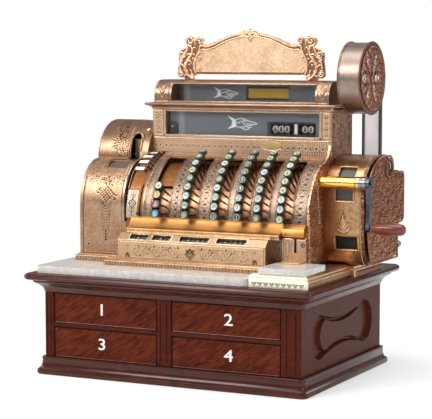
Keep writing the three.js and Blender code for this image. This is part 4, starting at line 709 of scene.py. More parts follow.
def medallion(r):
    """A diamond of crossed ribbons round a flower, with a scroll at each point."""
    shape = ring(r * 0.36, 1.0) + rosette(r * 0.3, 6, 0.8)
    ribbons = strokes(*(([(0, s), (s / 2, s / 2), (s, 0)], wide) for s, wide in ((r * 0.92, 1.1), (r * 0.62, 0.8))))
    shape += spun(ribbons + both(curl(r * 0.15, 1.1, 200, -1, 0.8)), QUARTERS)
    for turn in QUARTERS:
        shape += both(moved(curl(r * 0.17, 1.2, 180, -1, 0.85), (r * 0.62, r * 0.62), turn))
        shape += moved(spray(3, r * 0.3, 0.9, 80), (0, r * 0.86), turn)
    return shape


def palmette(size):
    """A fan of leaves that rises from two scrolls."""
    scroll = curl(size * 0.24, 1.2, 150, 1, size * 0.06)
    return spray(7, size, size * 0.075, 150) + both(moved(scroll, (size * 0.3, -size * 0.12)))


# Ornament of the left cover and the barrel


def housing_side():
    foot = (HOUSING_AXIS[0] - HOUSING_RADII[0], box_mm("left_housing")[0][2])
    return Profile([foot], arc_points(HOUSING_AXIS, HOUSING_RADII, 0, 90))


def housing_ornament():
    side, left = housing_side(), box_mm("left_housing")[0][0] + 7.4
    face = Relief(-180.5 - left, side.length - 1.5)
    crown = side.line[:, 1] > HOUSING_AXIS[1]

    def along(angle):
        z = HOUSING_AXIS[1] + HOUSING_RADII[1] * math.sin(math.radians(angle))
        return float(np.interp(z, side.line[crown, 1], side.along[crown]))

    middle, row = -224 - left, along(38)
    face.draw(feather(80, 13, 15, 0.85), (-221 - left, 110))
    face.draw(lattice(23, 5.6), (-219 - left, 131))
    for size, turns, start, hand, wide, spot in ((8.5, 1.5, 150, 1, 0.95, (12, row - 3)),
            (7.5, 1.4, 20, -1, 0.95, (28, row + 4)), (5.5, 1.3, 200, 1, 0.85, (40, row - 4))):
        face.pair(curl(size, turns, start, hand, wide), middle, spot)
    for x, y, turn, size in ((20, -9, -150, 9), (24, -6, -120, 8), (34, -9, -140, 7), (36, 8, -40, 7),
            (20, 6, -20, 8)):
        face.pair(frond(size, 1.1), middle, (x, row + y), turn)
    face.draw(lattice(10, 5.2, 0.8), (middle, row - 4))
    face.line((middle, row - 22), (middle, row - 15), 0.8)
    for x, s in ((-264, 20), (-268, along(52)), (-192, 20)):
        face.draw(rosette(7, 7) + ring(7.5, 0.5), (x - left, s))
    face.border(1.4, 0.45)
    a, b, c, d = -239.6 - left, along(59), -190.4 - left, along(81)
    face.drop(lambda u, v: (u > a) & (u < c) & (v > b) & (v < d))
    for grow, half in ((2.6, 0.8), (5.0, 0.5)):
        face.frame(a - grow, b - grow, c + grow, d + grow * 0.6, half, 1.0)
    face.piece("housing_ornament", side.face(left), "left_housing", engraved=True)


def barrel_ornament():
    left = box_mm("barrel_cover")[0][0] + 1
    side = Profile(arc_points(BARREL_AXIS, (BARREL_RADIUS, BARREL_RADIUS), 0, 180))
    per_degree = side.length / 180
    face = Relief(-206 - left, 112 * per_degree)
    x, s = -229 - left, 21 * per_degree
    face.draw(lace(27, 8, 0.9), (x, s))
    face.draw(lattice(13, 5.6, 0.8), (x - 4, s + 33))
    face.draw(feather(48, 8, 13, 0.9), (x - 8, s + 46), 188)
    face.line((x, s - 26), (x, s - 34), 0.8, 0.6)
    face.border(1.4, 0.4)
    face.piece("barrel_ornament", side.face(left, 3 * per_degree), "barrel_cover", engraved=True)


# Curved fronts of the banks

BANK = Profile([(BANK_AXIS[0] - BANK_RADIUS, BANK_FOOT)],
    arc_points(BANK_AXIS, (BANK_RADIUS, BANK_RADIUS), 0, 79.8, 90))


def bank_length(angle):
    """Length along the bank's side view up to an angle above its axis."""
    return BANK_AXIS[1] - BANK_FOOT + math.radians(angle) * BANK_RADIUS


def bank_strip(name, left, right, start, end, fill=None, look="key_plate", pitch=1.25, **more):
    """A strip of ornament between two sides and two angles, filled by a function of the face."""
    face = Relief(right - left, bank_length(end) - bank_length(start), pitch)
    if fill:
        fill(face)
    face.piece(name, BANK.face(left, bank_length(start)), look, engraved=bool(fill), **more)


def lozenges(face, start, end, half, size, height=0.9):
    """A row of diamonds with a bead in each and leaves between them."""
    start, end = np.array(start, float), np.array(end, float)
    length = np.linalg.norm(end - start)
    along = (end - start) / length
    across = np.array([-along[1], along[0]])
    count = int(length / (2.5 * size))
    for k in range(count):
        centre = start + along * (k + 0.5) * length / count
        for i in SIDES:
            for j in SIDES:
                face.line(centre + along * i * size, centre + across * j * half, 0.6, 0.6, height)
                tip = centre + along * i * size * 1.2
                face.line(tip, tip + along * i * size * 0.3 + across * j * half * 0.75, 0.85, 0.45, height)
        face.line(centre, centre, 1.0, 1.0, height)


def winding(face):
    """A row of diamonds between two rows of slanted strokes."""
    middle, reach = face.middle, min(face.width * 0.2, 4.6)
    outer = middle - 2.0
    for k in range(int((face.height - 8) / 3.9)):
        v = 3 + 3.9 * k
        for side in SIDES:
            face.line((middle + side * outer, v + reach * 0.7), (middle + side * (outer - reach), v), 0.5, 0.62, 0.9)
    core = middle - 3.4 - reach
    if core > 3:
        lozenges(face, (middle, 4), (middle, face.height - 4), core, 5.4)
    elif core > 0.8:
        face.beads((middle, 5), (middle, face.height - 4), 4.4, 0.9)
    for edge in (1.0, face.width - 1.0):
        face.line((edge, 1.1), (edge, face.height - 1.1), 0.5, 0.5, 0.9)


def medallion_bars(face):
    """A ring and diamond at the middle of upright bars."""
    x, y = face.middle, face.height * 0.5
    face.draw(ring(7.2, 0.9) + ring(3.2, 0.8), (x, y))
    for side in SIDES:
        face.line((x, y + side * 7.5), (x, y + side * 26), 0.8)
        face.pair(strokes(([(0, 0), (5, 0), (5, 9)], 0.7)), x, (0.5, y + side * 18))
        face.pair(strokes(([(0, 0), (4, 4)], 0.7)), x, (1, y + side * 12))
        face.pair(strokes(([(9.5, 0), (0, side * 9.5)], 0.8)), x, (0, y))
    face.border(1.2, 0.6)


def crest(face):
    lozenges(face, (4, face.height / 2), (face.width - 4, face.height / 2), 5.2, 6.4)
    for v in (4.2, face.height - 4.2):
        face.beads((4, v), (face.width - 4, v), 5.6, 1.3)
    face.border(1.2, 0.6)


def bank_ornament():
    bands = ((-118.5, -102), (-58.3, -31), (10, 39.2), (79, 95.2), (131, 140.2), (175, 192.2), (229, 260.4))
    for number, (left, right) in enumerate(bands, 1):
        bank_strip(f"band_ornament_{number}", left, right, -9, 67.4, winding)
    bank_strip("slide_plate_ornament", -164.6, -135.4, 0.6, 26.5, medallion_bars, "pale_plate", 1.0, base=1.45)
    bank_strip("slide_strip", -127.8, -119.2, -9, 46, base=0.6)
    bank_strip("crest_ornament", -124.2, 260.4, 68.6, 79.4, crest)


# Indicators

PANEL_LEFT, PANEL_RIGHT, PANEL_FRONT = -158.5, 265.5, 10


def front_panel(name, left, right, low, high, fill):
    face = Relief(right - left, high - low)
    fill(face)
    face.piece(name, flat((left, PANEL_FRONT, low), *FRONT), "indicator_frame", engraved=True)


def frieze(face):
    middle = face.height / 2
    lozenges(face, (5, middle), (face.width - 5, middle), 4.4, 5.2, 0.8)
    for row in (4.2, 8.0, 11.8):
        for v in (row, face.height - row):
            face.beads((6.4 if row == 8.0 else 4, v), (face.width - 4, v), 5.4, 1.35)
    face.border(1.1, 0.4)
    oval = 130 - PANEL_LEFT
    face.drop(lambda u, v: ((u - oval) / 23) ** 2 + ((v - 24.5) / 8.8) ** 2 < 1)


def pilaster(face):
    face.pair(running(face.height - 10, face.middle - 5.5, 24, 0.75), face.middle, (0, 5))
    face.border(1.3, 0.45)


def indicator_ornament():
    front_panel("frieze_ornament", PANEL_LEFT, PANEL_RIGHT, 466.8, 504.6, frieze)
    front_panel("left_pilaster", PANEL_LEFT, -131.8, 505, 564.6, pilaster)
    front_panel("right_pilaster", 245.8, PANEL_RIGHT, 505, 564.6, pilaster)

    side = Relief(118, 97)
    side.draw(medallion(30), (59, 50))
    for x, y in ((17, 20), (101, 20), (17, 80), (101, 80)):
        side.draw(rosette(9, 7) + curl(11, 0.8, 40, 1, 0.9), (x, y))
    side.pair(running(70, 5, 24, 0.9), 59, (44, 14))
    side.border(2, 1.0)
    side.piece("indicator_side_ornament", flat((266, 11, 467), *RIGHT), "side_relief")
    side.piece("indicator_left_ornament", flat((-159, 129, 467), (0, -1, 0), (0, 0, 1)), "indicator_frame")

    rim = Profile([(12, 579.6)], arc_points((46, 595), (34, 34), 0, 62))
    for name, left, right in (("left_cap_ornament", -156, -118), ("right_cap_ornament", 231, 259)):
        face = Relief(right - left, rim.length - 1)
        for motif, v in ((strokes(([(0, 22), (7, 30), (12, 34)], [1.6, 1.3, 0.8])), 0),
                (curl(4, 1.2, 200, 1, 0.9), 38), (frond(12, 1.4, 4), 16), (moved(frond(9, 1.2, 3), turn=50), 10)):
            face.draw(both(motif), (face.middle, v))
        face.border(1.6, 0.8)
        face.piece(name, rim.face(left), "upper_frame")


def printer_ornament():
    side = Profile(arc_points(PRINTER_WAIST, WAIST_RADII, -90, 0), arc_points(PRINTER_CROWN, CROWN_RADII, 0, 88))
    left, right = 267.2, 349.2
    face = Relief(right - left, side.length)

    def along(z):
        return float(np.interp(z, side.line[:, 1], side.along))

    leaf = (309 - left, along(314))
    for k in range(5):
        face.draw(both(moved(frond(22 - 3 * k, 2.4, 5), (0.5, 7 * k), turn=62 - 8 * k)), leaf, height=2.2)
    face.draw(frond(46, 2.4), leaf, height=2.2)
    face.draw(both(moved(curl(5, 1.3, 140, 1, 1.2), (9, 6))), leaf)
    crown = [PRINTER_CROWN[1] + CROWN_RADII[1] * math.sin(math.radians(a)) for a in (25, 46)]
    for x0, x1, z0, z1 in ((293, 330, 382.3, 406.3), (292, 340, 280.3, 307.3), (293, 330, *crown)):
        u0, u1, v0, v1 = x0 - left, x1 - left, along(z0), along(z1)
        for end in ((u1 + 2.2, v1 + 2.2), (u0 - 2.2, v0 - 2.2)):
            face.line((u1 + 2.2, v0 - 2.2), end, 1.0, 1.0, 0.8)
        face.drop(lambda u, v, u0=u0, u1=u1, v0=v0, v1=v1: (u > u0) & (u < u1) & (v > v0) & (v < v1))
    face.border(1.2, 0.6)
    face.piece("printer_ornament", side.face(left), "printer_housing")


# Front box, lock block, side casting and base


def front_ornament():
    face = Relief(344, 37)
    middle = face.middle
    face.pair(running(112, 9, 46, 0.9), middle, (24, 15), -90)
    face.draw(medallion(13), (middle, 15))
    for k in range(6):
        face.pair(curl(3.6, 1.3, 60 * k, 1 - 2 * (k % 2), 0.7), middle, (28 + 19 * k, 27))
        face.pair(frond(9, 0.8, 2), middle, (33 + 19 * k, 26), -70)
    face.pair(palmette(12), middle, (150, 6))
    face.pair(curl(4.5, 1.3, 90, 1, 0.7), middle, (150, 27))
    face.border(1.4, 0.45)
    face.piece("front_scrolls", flat((-158, -150, 252), *FRONT), "counter_box", engraved=True)

    block = Relief(24, 56)
    block.draw(fern(44, 8, 8), (12, 50))
    block.border(1.4, 0.7)
    block.piece("lock_ornament", flat((211, -116.2, 252.5), *FRONT), "lock_block")

    casting = Relief(77, 214)
    centre = (BANK_AXIS[0] + 104.5, BANK_AXIS[1] - 251)
    for t in np.radians(np.arange(-30, 62, 3.1)):
        spot = (centre[0] - 138.5 * math.cos(t), centre[1] + 138.5 * math.sin(t))
        if 0 < spot[0] < 76 and spot[1] > 3:
            casting.line(spot, spot, 1.7, 1.7, 1.4)
    for motif, spot in ((fern(54, 9, 13, 1.2), (30, 66)), (medallion(14), (30, 84)), (palmette(14), (32, 104))):
        casting.draw(motif, spot)
    casting.drop(lambda u, v: np.hypot(u - centre[0], v - centre[1]) > np.where(v > centre[1], 144.5, 1e9))
    casting.piece("casting_ornament", flat((266, -104.5, 251), *RIGHT), "side_casting")


def egg_row(name, start, end, low, height, look="machine_base"):
    """Eggs between darts along the foot of the machine, from one plan corner to another."""
    start, end = np.array(start, float), np.array(end, float)
    length = np.linalg.norm(end - start)
    face = Relief(length, height, 1.0)
    count = round(length / 7.5)
    for k in range(count):
        u = (k + 0.5) * length / count
        face.line((u, height * 0.32), (u, height * 0.74), 2.2, 1.6, 1.6)
        face.line((u + length / count / 2, height * 0.2), (u + length / count / 2, height * 0.85), 0.5, 0.8, 0.8)
    face.line((0.8, height - 1), (length - 0.8, height - 1), 0.6, 0.6, 0.8)
    face.piece(name, flat((*start, low), np.append((end - start) / length, 0), (0, 0, 1)), look)


def base_ornament():
    egg_row("base_eggs_left", (-290.2, -111.1), (-193.5, -111.1), 236.4, 10.5)
    egg_row("base_eggs_front", (-192.4, -155.8), (184, -155.8), 235.6, 9.5)
    egg_row("base_eggs_side", (328, 0.5), (328, 153), 220, 12.5, "dark_relief")
    egg_row("base_eggs_return", (-291, 152), (-291, -107.5), 220, 14, "dark_relief")
    pedestal = Relief(124, 12.5, 1.0)
    chevrons = strokes(([(-5.2, 3.4), (0, -3.4), (5.2, 3.4)], 1.0), ([(-2.2, 3.4), (0, 0.4), (2.2, 3.4)], 0.9))
    for k in range(9):
        pedestal.draw(chevrons, (10 + 13 * k, 6))
    # painted highlight: the pedestal's front chevrons in the same pale cream brass
    pedestal.piece("pedestal_triangles", flat((188.5, -228, 220), *FRONT), "cream_brass", engraved=True)
    side = Relief(216, 12.5, 1.0)
    for k in range(26):
        side.draw(strokes(([(-2.6, -2), (0, 3), (2.6, -2), (-2.6, -2)], 0.6)), (8 + 8 * k, 6))
    side.border(1.0, 0.5)
    side.piece("pedestal_side_triangles", flat((316, -224, 220), *RIGHT), "machine_base")


for ornament in (housing_ornament, barrel_ornament, bank_ornament, indicator_ornament, printer_ornament,
        front_ornament, base_ornament):
    ornament()


# Small parts built from turned, swept and flat shapes


def circle(steps):
    """Turns in radians, evenly round a circle."""
    return [2 * math.pi * k / steps for k in range(steps)]


def oblong(x0, y0, x1, y1):
    """The corners of a rectangle."""
    return [(x0, y0), (x1, y0), (x1, y1), (x0, y1)]


def set_out(point, across, up):
    """A place whose X runs across, Y up and Z out of a face, at a point on it."""
    across, up = Vector(across).normalized(), Vector(up).normalized()
    out = across.cross(up)
    return Matrix((*((across[k], up[k], out[k], point[k]) for k in range(3)), (0, 0, 0, 1)))


def bank_point(x, angle, radius):
    t = math.radians(angle)
    return x, BANK_AXIS[0] - radius * math.cos(t), BANK_AXIS[1] + radius * math.sin(t)


def bank_place(x, angle, radius):
    """A place on the banks with Z out of them, Y up the bank and X to the right."""
    t = math.radians(angle)
    return set_out(bank_point(x, angle, radius), (1, 0, 0), (0, math.sin(t), math.cos(t)))


class Shape:
    """Points and faces of one piece, in millimetres, each face with the number of its look."""

    def __init__(self):
        self.points, self.faces, self.look = [], [], []

    def add(self, points, faces, look=0, place=None):
        first = len(self.points)
        if place is not None:
            points = [place @ Vector(point) for point in points]
        self.points += [tuple(point) for point in points]
        self.faces += [tuple(first + k for k in face) for face in faces]
        self.look += [look] * len(faces) if isinstance(look, int) else look

    def turned(self, profile, place, steps=28, looks=None):
        """A profile of (radius, height) turned about the place's own Z, closed where the radius is 0."""
        points = [(r * math.cos(t), r * math.sin(t), h) for r, h in profile for t in circle(steps)]
        faces = []
        for row in range(len(profile) - 1):
            for k in range(steps):
                a, b = row * steps + k, row * steps + (k + 1) % steps
                face = (a, b, b + steps, a + steps)
                if profile[row][0] < 1e-6:
                    face = (a, b + steps, a + steps)
                elif profile[row + 1][0] < 1e-6:
                    face = (a, b, b + steps)
                faces.append(face)
        self.add(points, faces, [look for look in looks for _ in range(steps)] if looks else 0, place)

    def tube(self, path, radii, steps=10, closed=False):
        """A round bar along a path, with a radius for each of its points."""
        path = [Vector(point) for point in path]
        count = len(path)
        points, side = [], None
        for k, point in enumerate(path):
            ahead = path[(k + 1) % count] if closed or k < count - 1 else point
            behind = path[k - 1] if closed or k > 0 else point
            run = (ahead - behind).normalized()
            side = run.orthogonal() if side is None else side - run * side.dot(run)
            side.normalize()
            other = run.cross(side)
            points += [point + (side * math.cos(t) + other * math.sin(t)) * radii[k] for t in circle(steps)]
        faces = []
        for k in range(count if closed else count - 1):
            for j in range(steps):
                a, b = k * steps + j, k * steps + (j + 1) % steps
                faces.append((a, b, (b + steps) % (count * steps), (a + steps) % (count * steps)))
        if not closed:
            faces += [tuple(reversed(range(steps))), tuple((count - 1) * steps + j for j in range(steps))]
        self.add(points, faces)

    def hoop(self, x, centre, radius, wide, count):
        """A ring of round bar about X."""
        self.tube([(x, centre[0] + radius * math.cos(t), centre[1] + radius * math.sin(t)) for t in circle(count)],
            [wide] * count, 7, closed=True)

    def slab(self, outline, place, thickness, look=0):
        """A flat plate: its outline lies in the place's own XY and it is raised along Z."""
        count = len(outline)
        faces = [tuple(reversed(range(count))), tuple(range(count, 2 * count))]
        faces += [(k, (k + 1) % count, (k + 1) % count + count, k + count) for k in range(count)]
        self.add([(x, y, z) for z in (0, thickness) for x, y in outline], faces, look, place)

    def block(self, low, high, look=0):
        self.slab(oblong(*low[:2], *high[:2]), Matrix.Translation((0, 0, low[2])), high[2] - low[2], look)

    def sheet(self, pairs, place=None):
        """A thin sheet between two edges, from pairs of points across it."""
        points = [point for pair in pairs for point in pair]
        self.add(points, [(k, k + 2, k + 3, k + 1) for k in range(0, len(points) - 2, 2)], 0, place)

    def bank_block(self, sides, angles, radii):
        """A block between two sides, angles and radii about the axis of the banks."""
        self.add([bank_point(x, a, r) for x in sides for a in angles for r in radii],
            [(0, 2, 6, 4), (1, 5, 7, 3), (0, 4, 5, 1), (2, 3, 7, 6), (0, 1, 3, 2), (4, 6, 7, 5)])

    def piece(self, name, looks, body=ROOT, slot="brass", nodes=(), smooth=35, bevel=0.0):
        mesh = bpy.data.meshes.new(name)
        mesh.from_pydata([tuple(c * MM for c in point) for point in self.points], [], self.faces)
        for look in looks.split():
            mesh.materials.append(LOOK[look])
        mesh.polygons.foreach_set("material_index", self.look)
        bm = bmesh.new()
        bm.from_mesh(mesh)
        bmesh.ops.remove_doubles(bm, verts=bm.verts, dist=0.003 * MM)
        bmesh.ops.recalc_face_normals(bm, faces=bm.faces)
        bm.to_mesh(mesh)
        bm.free()
        smooth_by_angle(mesh, smooth)
        obj = bpy.data.objects.new(name, mesh)
        if bevel:
            soft_edges(obj, bevel)
        return place_piece(obj, body, slot, *nodes)


def bars(name, looks, y0, y1, rows, **more):
    """A piece of boxes between two depths, from rows of left, right, bottom, top and the look's number."""
    shape = Shape()
    for left, right, low, high, *look in rows:
        shape.block((left, y0, low), (right, y1, high), *look)
    shape.piece(name, looks, **more)


def lettering(text, height, weight=0.0):
    """Points and faces of plain numerals of a height, centred on the origin, and thickened by a weight."""
    curve = bpy.data.curves.new("numerals", "FONT")
    curve.body, curve.resolution_u, curve.offset = text, 3, weight
    holder = bpy.data.objects.new("numerals", curve)
    bpy.context.scene.collection.objects.link(holder)
    mesh = holder.evaluated_get(bpy.context.evaluated_depsgraph_get()).to_mesh()
    points = np.array([vertex.co for vertex in mesh.vertices])
    faces = [tuple(face.vertices) for face in mesh.polygons]
    holder.to_mesh_clear()
    bpy.data.objects.remove(holder)
    bpy.data.curves.remove(curve)
    low, high = points.min(0), points.max(0)
    return (points - (low + high) / 2) * height / (high[1] - low[1]), faces


# Keys: the coloured ones and one of each bank move, and the others stay

KEY_X = (-80.0, -10.6, 58.9, 112.8, 157.3, 210.3)
KEY_FIRST, KEY_STEP, KEY_FACE, MOVING_ROW = 5.8, 7.115, 167.5, 4  # degrees, degrees, radius and row
KEY_LOOKS = [row.split() for row in (
    "blue pink yellow bone",
    "green pale white pale green cream white green black",
    "black white pale white green pale white cream green",
    "black white grey black black black black black black",
    "green white pale pale cream white green cream pale",
    "cream white white cream cream cream white cream cream",
)]
KEY_WORTH = ("", "00", "0", "", "0", "")
KEY_RING = [(0, -8.7), (6.6, -8.7), (8.3, -8.3), (9.0, -7.3), (9.0, -1.5), (8.75, -0.5), (8.1, 0.15), (7.4, 0.15),
    (6.9, -0.35)]
KEY_DISC = [(6.5, -0.7), (4.5, -1.0), (2, -1.15), (0, -1.2)]
INK, IVORY = 2, 3  # looks of a cap after its ring and its disc


def key_caps(name, column, rows, body=ROOT, slot="key_green"):
    """Caps of keys: a dark ring round a dished disc that carries a numeral."""
    shape, looks = Shape(), ""
    for number, row in enumerate(rows):
        first, colour = 4 * number, KEY_LOOKS[column][row]
        looks += f"key_ring disc_{colour} ink ivory "
        place = bank_place(KEY_X[column], KEY_FIRST + KEY_STEP * row, KEY_FACE)
        shape.turned(KEY_RING + KEY_DISC, place, 26, [first] * (len(KEY_RING) - 1) + [first + 1] * len(KEY_DISC))
        text = str(row + 1) + KEY_WORTH[column]
        points, faces = lettering(text, (7.6, 6.0, 4.6)[len(text) - 1])
        pale = colour in ("black", "green", "blue", "pink")
        shape.add(points + (0, 0, -0.75), faces, first + (IVORY if pale else INK), place)
        if colour == "black":
            shape.turned([(5.9, -0.62), (6.6, -0.5)], place, 26, [first + IVORY])
    shape.piece(name, looks, body, slot)


for column, colours in enumerate(KEY_LOOKS):
    rows = range(len(colours))
    for row in rows if column == 0 else (MOVING_ROW,):
        node = f"bank_{column}_key_{row + 1}" if column else f"coloured_key_{row + 1}"
        key_caps(f"{node}_cap", column, (row,), NODE_BODY[node], NODE_SLOT[node])
    if column:
        key_caps(f"bank_{column}_caps", column, [row for row in rows if row != MOVING_ROW])


# Digits on the wheels, numerals and edges of the drawers, and the pointing hands


def digits_round(shape, x, axis, radius, height, count, first, wide=1.0):
    """Numerals round a wheel about X, the first one facing the front."""
    for k in range(count):
        points, faces = lettering(str((first + k) % 10), height)
        turns = math.radians(360 * k / count) + points[:, 1] / radius
        y, z = axis[0] - radius * np.cos(turns), axis[1] + radius * np.sin(turns)
        shape.add(np.stack([x + points[:, 0] * wide, y, z], -1), faces)


def wheel_digits():
    shape = Shape()
    for x in (131, 144.6, 158.2, 200, 213.6):
        digits_round(shape, x, (37, 525.5), 12.25, 16.5, 4, 0, 35 / 31)
    shape.piece("number_wheel_digits", "digit", NODE_BODY["number_wheels"], "wheels")
    shape = Shape()
    for start, end, count in ((-132.9, -89.1, 4), (-78.9, -35.1, 4), (-13.8, 55.1, 6), (73.2, 142.1, 6)):
        for k in range(count):
            digits_round(shape, start + (end - start) * (k + 0.5) / count, (-132.79, 286.51), 10.35, 8, 6, 3 * k)
    shape.piece("counter_wheel_digits", "digit", NODE_BODY["counter_wheels"], "wheels")


def drawer_marks():
    """A numeral, and lines at the edges of each drawer's front: dark painted shade for the gaps and a pale painted
    highlight above the bottom edge.
    """
    for number in range(1, 5):
        (x0, y, z0), (x1, _, z1) = box_mm(f"drawer_{number}")
        x, body, slot = -161 if number % 2 else 137, NODE_BODY[f"drawer_{number}"], "mahogany_front"
        points, faces = lettering(str(number), 24.5, 0.008)
        shape = Shape()
        shape.add(points * (1.25, 1, 1), faces, 0, set_out((x, y - 0.15, z0 + 34.5), *FRONT))
        shape.piece(f"drawer_{number}_numeral", "numeral_white", body, slot)
        # painted shade in the gaps round the drawer front, and a painted highlight above its bottom edge
        bars(f"drawer_{number}_edge", "gap_black worn_edge", y - 0.3, y + 0.4, (
            (x0, x1, z1 - 1.6, z1), (x0, x0 + 1.8, z0, z1), (x1 - 1.8, x1, z0, z1), (x0, x1, z0, z0 + 1.4),
            (x0 + 3, x1 - 3, z0 + 1.4, z0 + 2.3, 1)), body=body, slot=slot)


HAND_CUFF = [(-37, 17, 0), (-17, 8, 0), (-15, -7, 0), (-38, -13, 0), (-27, -5, 0), (-25, 5, 0)]
HAND_LINES = (
    [(-16, 8), (-6, 11), (6, 9), (16, 5), (30, 2), (34, 0), (30, -2), (16, -1), (8, 0)],
    [(-15, -7), (-4, -9), (6, -13), (14, -12), (16, -9), (11, -7), (4, -6)],
    [(14, -9), (19, -8), (20, -5), (13, -4), (5, -3)], [(18, -5), (22, -4), (22, -1.5)],
    [(-8, 4), (-2, 4), (4, 1), (2, -3)], [(0, 7), (10, 5)], [(-14, 2), (-7, 1)], [(-3, -6), (4, -9)],
)
HAND_LINE_HALF = 0.85


def painted_hand(name, place, size):
    """A pointing hand: a solid cuff, and the fingers drawn in line."""
    place = set_out(place, *FRONT) @ Matrix.Scale(size, 4)
    shape = Shape()
    shape.add(HAND_CUFF, [(0, 1, 5), (1, 2, 4, 5), (2, 3, 4)], 0, place)
    for line in HAND_LINES:
        t = np.linspace(0, len(line) - 1, len(line) * 4)
        fine = np.stack([np.interp(t, range(len(line)), axis) for axis in zip(*line)], -1)
        run = np.gradient(fine, axis=0)
        run /= np.maximum(np.linalg.norm(run, axis=1, keepdims=True), 1e-9)
        off = np.stack([-run[:, 1], run[:, 0]], -1) * HAND_LINE_HALF
        shape.sheet([((*a, 0), (*b, 0)) for a, b in zip(fine - off, fine + off)], place)
    shape.piece(name, "hand_paint", slot="panel")


def indicator_trim():
    bars("window_trim", "bright_trim", 6.6, 8.5, ((-131, 245, 505.2, 509.6), (-131, 245, 560.8, 562.8),
        (-131, -126.6, 505.2, 562.8), (240.6, 245, 505.2, 562.8)), bevel=0.5)
    bars("upper_trim", "bright_trim", 11.2, 13.4, ((-117, 230, 581, 583.4), (-117, 230, 620.9, 623)), bevel=0.4)
    bars("digit_window", "window_black", 23.2, 23.9, ((113, 224.5, 536.6, 541), (113, 224.5, 510.6, 514.6),
        (113, 118, 514.6, 536.6)), slot="panel")
    bars("digit_divider", "divider_white", 22.9, 23.9, ((176.5, 183.5, 515.5, 536.8),), slot="panel")
    bars("flag_window", "window_black", 49.2, 49.9, ((50, 152.6, 611.6, 616), (50, 54, 587, 611.6),
        (50, 152.6, 586.6, 589.6)), slot="panel")

    dentils, z = Shape(), box_mm("indicator_cornice")[0][2] + 2.2
    places = [set_out((-156.6 + 5.2 * k, 2.4, z), *FRONT) for k in range(82)]
    for place in places + [set_out((273.4, 5.5 + 5.2 * k, z), *RIGHT) for k in range(24)]:
        dentils.slab([(0, 0), (2.7, 0), (2.7, 4.6), (1.35, 5.4), (0, 4.6)], place, 2.2)
    dentils.piece("cornice_dentils", "dark_relief")

    bracket = Shape()  # behind the glass at the left of the lower window
    bracket.slab([(-126, 511), (-104, 511), (-104, 531), (-109, 538), (-121, 538), (-126, 531)],
        set_out((0, 23.9, 0), *FRONT), 4)
    bracket.turned([(0, 6.6), (3.6, 6), (4.6, 4), (4.6, 0)], set_out((-115, 23.9, 528), *FRONT), 18, [1, 1, 1])
    bracket.piece("window_bracket", "ink steel", slot="panel", bevel=0.4)

    plate = Shape()
    plate.slab([(22 * math.cos(t), 8.2 * math.sin(t)) for t in circle(40)], set_out((130, 9.6, 491.3), *FRONT), 1.6)
    plate.piece("oval_plate", "plate_gold", bevel=0.5)


def banks_trim():
    """Enamel labels and dark studs of the slide bank, and panels that close the key slots."""
    labels, studs, lids = Shape(), Shape(), Shape()
    for angle in (48.4, 57.5, 66.5, 75):
        labels.slab(oblong(-10.6, -4.6, 10.6, 4.6), bank_place(-154, angle, BANK_RADIUS + 1.1), 0.9)
        for x in (-4, 4):
            labels.slab(oblong(x - 2.6, -1.1, x + 2.6, 1.1), bank_place(-154, angle, BANK_RADIUS + 1.95), 0.15, 1)
    labels.piece("slide_labels", "label_enamel label_ink", bevel=0.25)
    for angle in np.arange(46.5, 77, 4.8):
        for x, shift in ((-137.2, 0), (-129.4, 2.2)):
            studs.turned([(1.2, 0.2), (1.5, 2.6), (2.4, 3.2), (3.5, 2.4), (3.7, 0)],
                bank_place(x, angle + shift, BANK_RADIUS), 14)
    studs.piece("slide_studs", "stud_dark")
    slots = ((-102, -58.3), (-31, 10), (39.2, 79), (95.2, 131), (140.2, 175), (192.2, 229))
    for k, (left, right) in enumerate(slots):
        start, radius = (67.5, 132) if k else (34, 127)
        for first in np.arange(start, 79, 3.0):
            lids.bank_block((left - 0.6, right + 0.6), (first, min(first + 3.0, 79)), (radius, radius - 2))
        lids.bank_block((left - 3, right + 3), (75, 76), (radius - 1, 104))
    lids.piece("slot_lids", "slide_bank")


